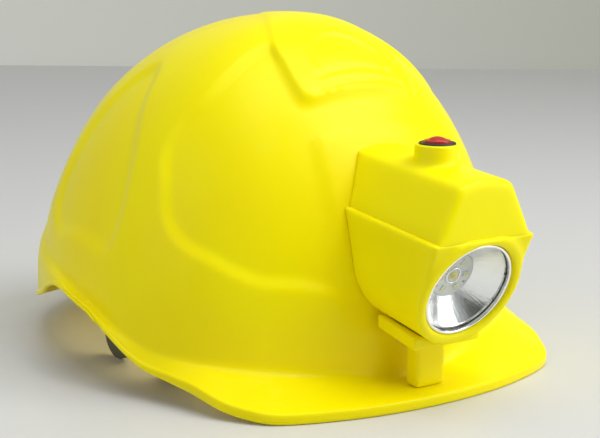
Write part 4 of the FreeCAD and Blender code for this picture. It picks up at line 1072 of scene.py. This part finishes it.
for k, one in enumerate(trays):
    a = 2 * math.pi * k / SMALL_LIGHTS
    one.matrix_world = (Matrix.Rotation(a, 4, "Z")
                        @ Matrix.Translation((SMALL_LIGHT_R * MM, 0, (BOARD_Z + TRAY[2] / 2) * MM)))
pick(tray)
for one in trays:
    one.select_set(True)
bpy.ops.object.join()
bpy.ops.object.transform_apply(location=True, rotation=True, scale=True)
in_mouth(tray, "led_phosphor", "side_leds")

# %% [markdown]
# ## The switch
# A push button stands in a bush on the lamp's roof. The button's dome and the bush's rolled lip are small,
# but the red dome is the brightest accent on the object, so both are turned with fine steps.

# %% Button and bush
BOSS_TOP = 110.0
BUTTON_R = 5.6
BORE_R = 5.68
BARREL_R = 6.4
BEZEL_R = 7.8
BEZEL_TOP = BOSS_TOP + 1.2
BUSH_TOP = BOSS_TOP + 0.75
BUTTON_TOP = BEZEL_TOP + 0.5
DOME_R = 4.2
DOME_RISE = 1.4
DECK_Z = 97.5
BUTTON_FOOT = BOSS_TOP - 6.0
HOLLOW_R = 4.2
HOLLOW_DEPTH = 3
switch_y = middle("switch_button").y
dome_sphere = (DOME_R ** 2 + DOME_RISE ** 2) / (2 * DOME_RISE)
dome_half = math.degrees(math.asin(DOME_R / dome_sphere))


def at_switch(piece, body, slot, node):
    pick(piece)
    piece.location = (0, switch_y, 0)
    bpy.ops.object.transform_apply(location=True, rotation=True, scale=True)
    finish_piece(piece, body, slot, node)


button_outline = arc(0, BUTTON_TOP + DOME_RISE - dome_sphere, dome_sphere, 88, 90 - dome_half, 8)
button_outline += arc(DOME_R + 0.25, BUTTON_TOP + 0.12, 0.12, 200, 270, 2)
button_outline += arc(BUTTON_R - 0.4, BUTTON_TOP - 0.4, 0.4, 90, 0, 4)
button_outline += [(BUTTON_R, BUTTON_FOOT), (HOLLOW_R, BUTTON_FOOT), (HOLLOW_R, BUTTON_FOOT + HOLLOW_DEPTH)]
button = turned("push_button", button_outline, 64, True)
at_switch(button, "switch_button", "red_plastic", "switch_button")

BUSH_ROUND = 0.55
bush_outline = [(BORE_R, DECK_Z)] + arc(BORE_R + 0.2, BUSH_TOP - 0.2, 0.2, 180, 90, 3)
bush_outline += arc(BEZEL_R - BUSH_ROUND, BUSH_TOP - BUSH_ROUND, BUSH_ROUND, 90, 0, 6)
bush_outline += [(BEZEL_R, BOSS_TOP), (BARREL_R, BOSS_TOP), (BARREL_R, DECK_Z), (BORE_R, DECK_Z)]
bush = turned("switch_bush", bush_outline, 64)
at_switch(bush, "cap", "black_plastic", "switch_bezel")


# %% [markdown]
# ## Harness fabric
# Two crossed tapes carry the cap on the head, a soft band lines the brow and a pad lines the nape. The
# tapes are woven polyester, thin and flat, so they are bent strips with their own thickness. The pads are
# foam under knit cloth: fuller in the middle, pinched along a stitched edge.

# %% Crown tapes
CROWN_Y = middle("crown_strap_lower").y
TAPE_STEPS = 96
TAPE_HALF_W = 9.6
TAPE_T = 1.1
TAPE_REACH = {"crown_strap_lower": 86.0, "crown_strap_upper": 87.25}


def crown_tape(name, node, angle):
    """Tape that follows the CAD strap's oval hoop: a grid bent into an arch and given thickness."""
    low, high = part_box(node)
    foot_z, top_z = low.z, high.z
    half_w = TAPE_HALF_W * MM
    thick = TAPE_T * MM
    reach = TAPE_REACH[node] * MM
    clear_picks()
    bpy.ops.mesh.primitive_grid_add(x_subdivisions=TAPE_STEPS, y_subdivisions=8, size=1)
    piece = named(name)
    flat = points_of(piece)
    turn = flat[:, 0] * math.pi
    rim = np.abs(flat[:, 1] * 2) ** 6 * 0.15 * MM
    out, rise = reach - thick / 2 - rim, top_z - foot_z - thick / 2 - rim
    co = np.stack([out * np.sin(turn), flat[:, 1] * 2 * half_w, foot_z + rise * np.cos(turn)], -1)
    move_points(piece, co)
    uv = piece.data.uv_layers.active
    length = math.pi * (reach + rise.mean()) / 2
    for loop in piece.data.loops:
        point = flat[loop.vertex_index]
        uv.data[loop.index].uv = (point[1] * 2 * half_w, point[0] * length)
    modify(piece, "SOLIDIFY", thickness=thick, offset=0.0, use_even_offset=True)
    modify(piece, "BEVEL", width=0.3 * MM, segments=2, limit_method="ANGLE")
    piece.matrix_world = Matrix.Translation((0, CROWN_Y, 0)) @ Matrix.Rotation(math.radians(angle), 4, "Z")
    tidy(piece)
    finish_piece(piece, "cap", "webbing", node)


crown_tape("crown_tape_lower", "crown_strap_lower", 44)
crown_tape("crown_tape_upper", "crown_strap_upper", 136)

# %% Brow band and nape pad
BAND_R = 79.0
PAD_T = 4.0
PAD_SEAM_AT = 0.86
PAD_SEAM_W = 0.035
PAD_SKIN = 0.35
BROW_CENTRE_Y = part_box("brow_pad")[0].y / MM + BAND_R - 0.3
NAPE_CENTRE_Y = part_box("nape_pad")[1].y / MM - BAND_R + 1.3


def curved_pad(name, node, centre_y, outer_r, from_deg, to_deg, steps, puff):
    """Foam pad against the inside of the band: pinched at its stitched edge and full between the seams."""
    low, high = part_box(node)
    clear_picks()
    bpy.ops.mesh.primitive_grid_add(x_subdivisions=steps, y_subdivisions=24, size=2)
    piece = named(name)
    flat = points_of(piece)
    edge = np.minimum(1 - np.abs(flat[:, 0]) ** 24, 1 - np.abs(flat[:, 1]) ** 4)
    seam = np.exp(-((np.abs(flat[:, 1]) - PAD_SEAM_AT) / PAD_SEAM_W) ** 2)
    full = np.clip(edge, 0, 1) ** 0.5 * (1 - 0.45 * seam)
    quilt = 1 + 0.06 * np.cos(flat[:, 0] * puff * math.pi)
    turn = np.radians(from_deg + (to_deg - from_deg) * (flat[:, 0] + 1) / 2)
    radius = outer_r - 0.4 - (PAD_T - 0.6) * full * quilt
    mid, half = (low.z + high.z) / 2 / MM, (high.z - low.z) / 2 / MM
    co = np.stack([radius * np.sin(turn), centre_y + radius * np.cos(turn), mid + half * flat[:, 1]], -1)
    move_points(piece, co * MM)
    uv = piece.data.uv_layers.active
    span = math.radians(abs(to_deg - from_deg)) * outer_r / 2
    for loop in piece.data.loops:
        point = flat[loop.vertex_index]
        uv.data[loop.index].uv = (point[0] * span * MM, point[1] * half * MM)
    modify(piece, "SOLIDIFY", thickness=PAD_SKIN * MM, offset=0.0)
    tidy(piece)
    finish_piece(piece, "cap", "pad_fabric", node)


curved_pad("brow_band", "brow_pad", BROW_CENTRE_Y, BAND_R - 0.3, 118, 242, 160, 30)
curved_pad("nape_cushion", "nape_pad", NAPE_CENTRE_Y, BAND_R - 1.3, -17, 17, 48, 8)

# %% [markdown]
# ## The size of the dressed model
# The dressed model must stay the size of the CAD model, so both boxes are printed.

# %% Sizes
visual_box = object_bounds()
for label, bounds in (("CAD", cad_box), ("dressed", visual_box)):
    print(label, [round((b - a) / MM, 1) for a, b in zip(*bounds)], "mm")
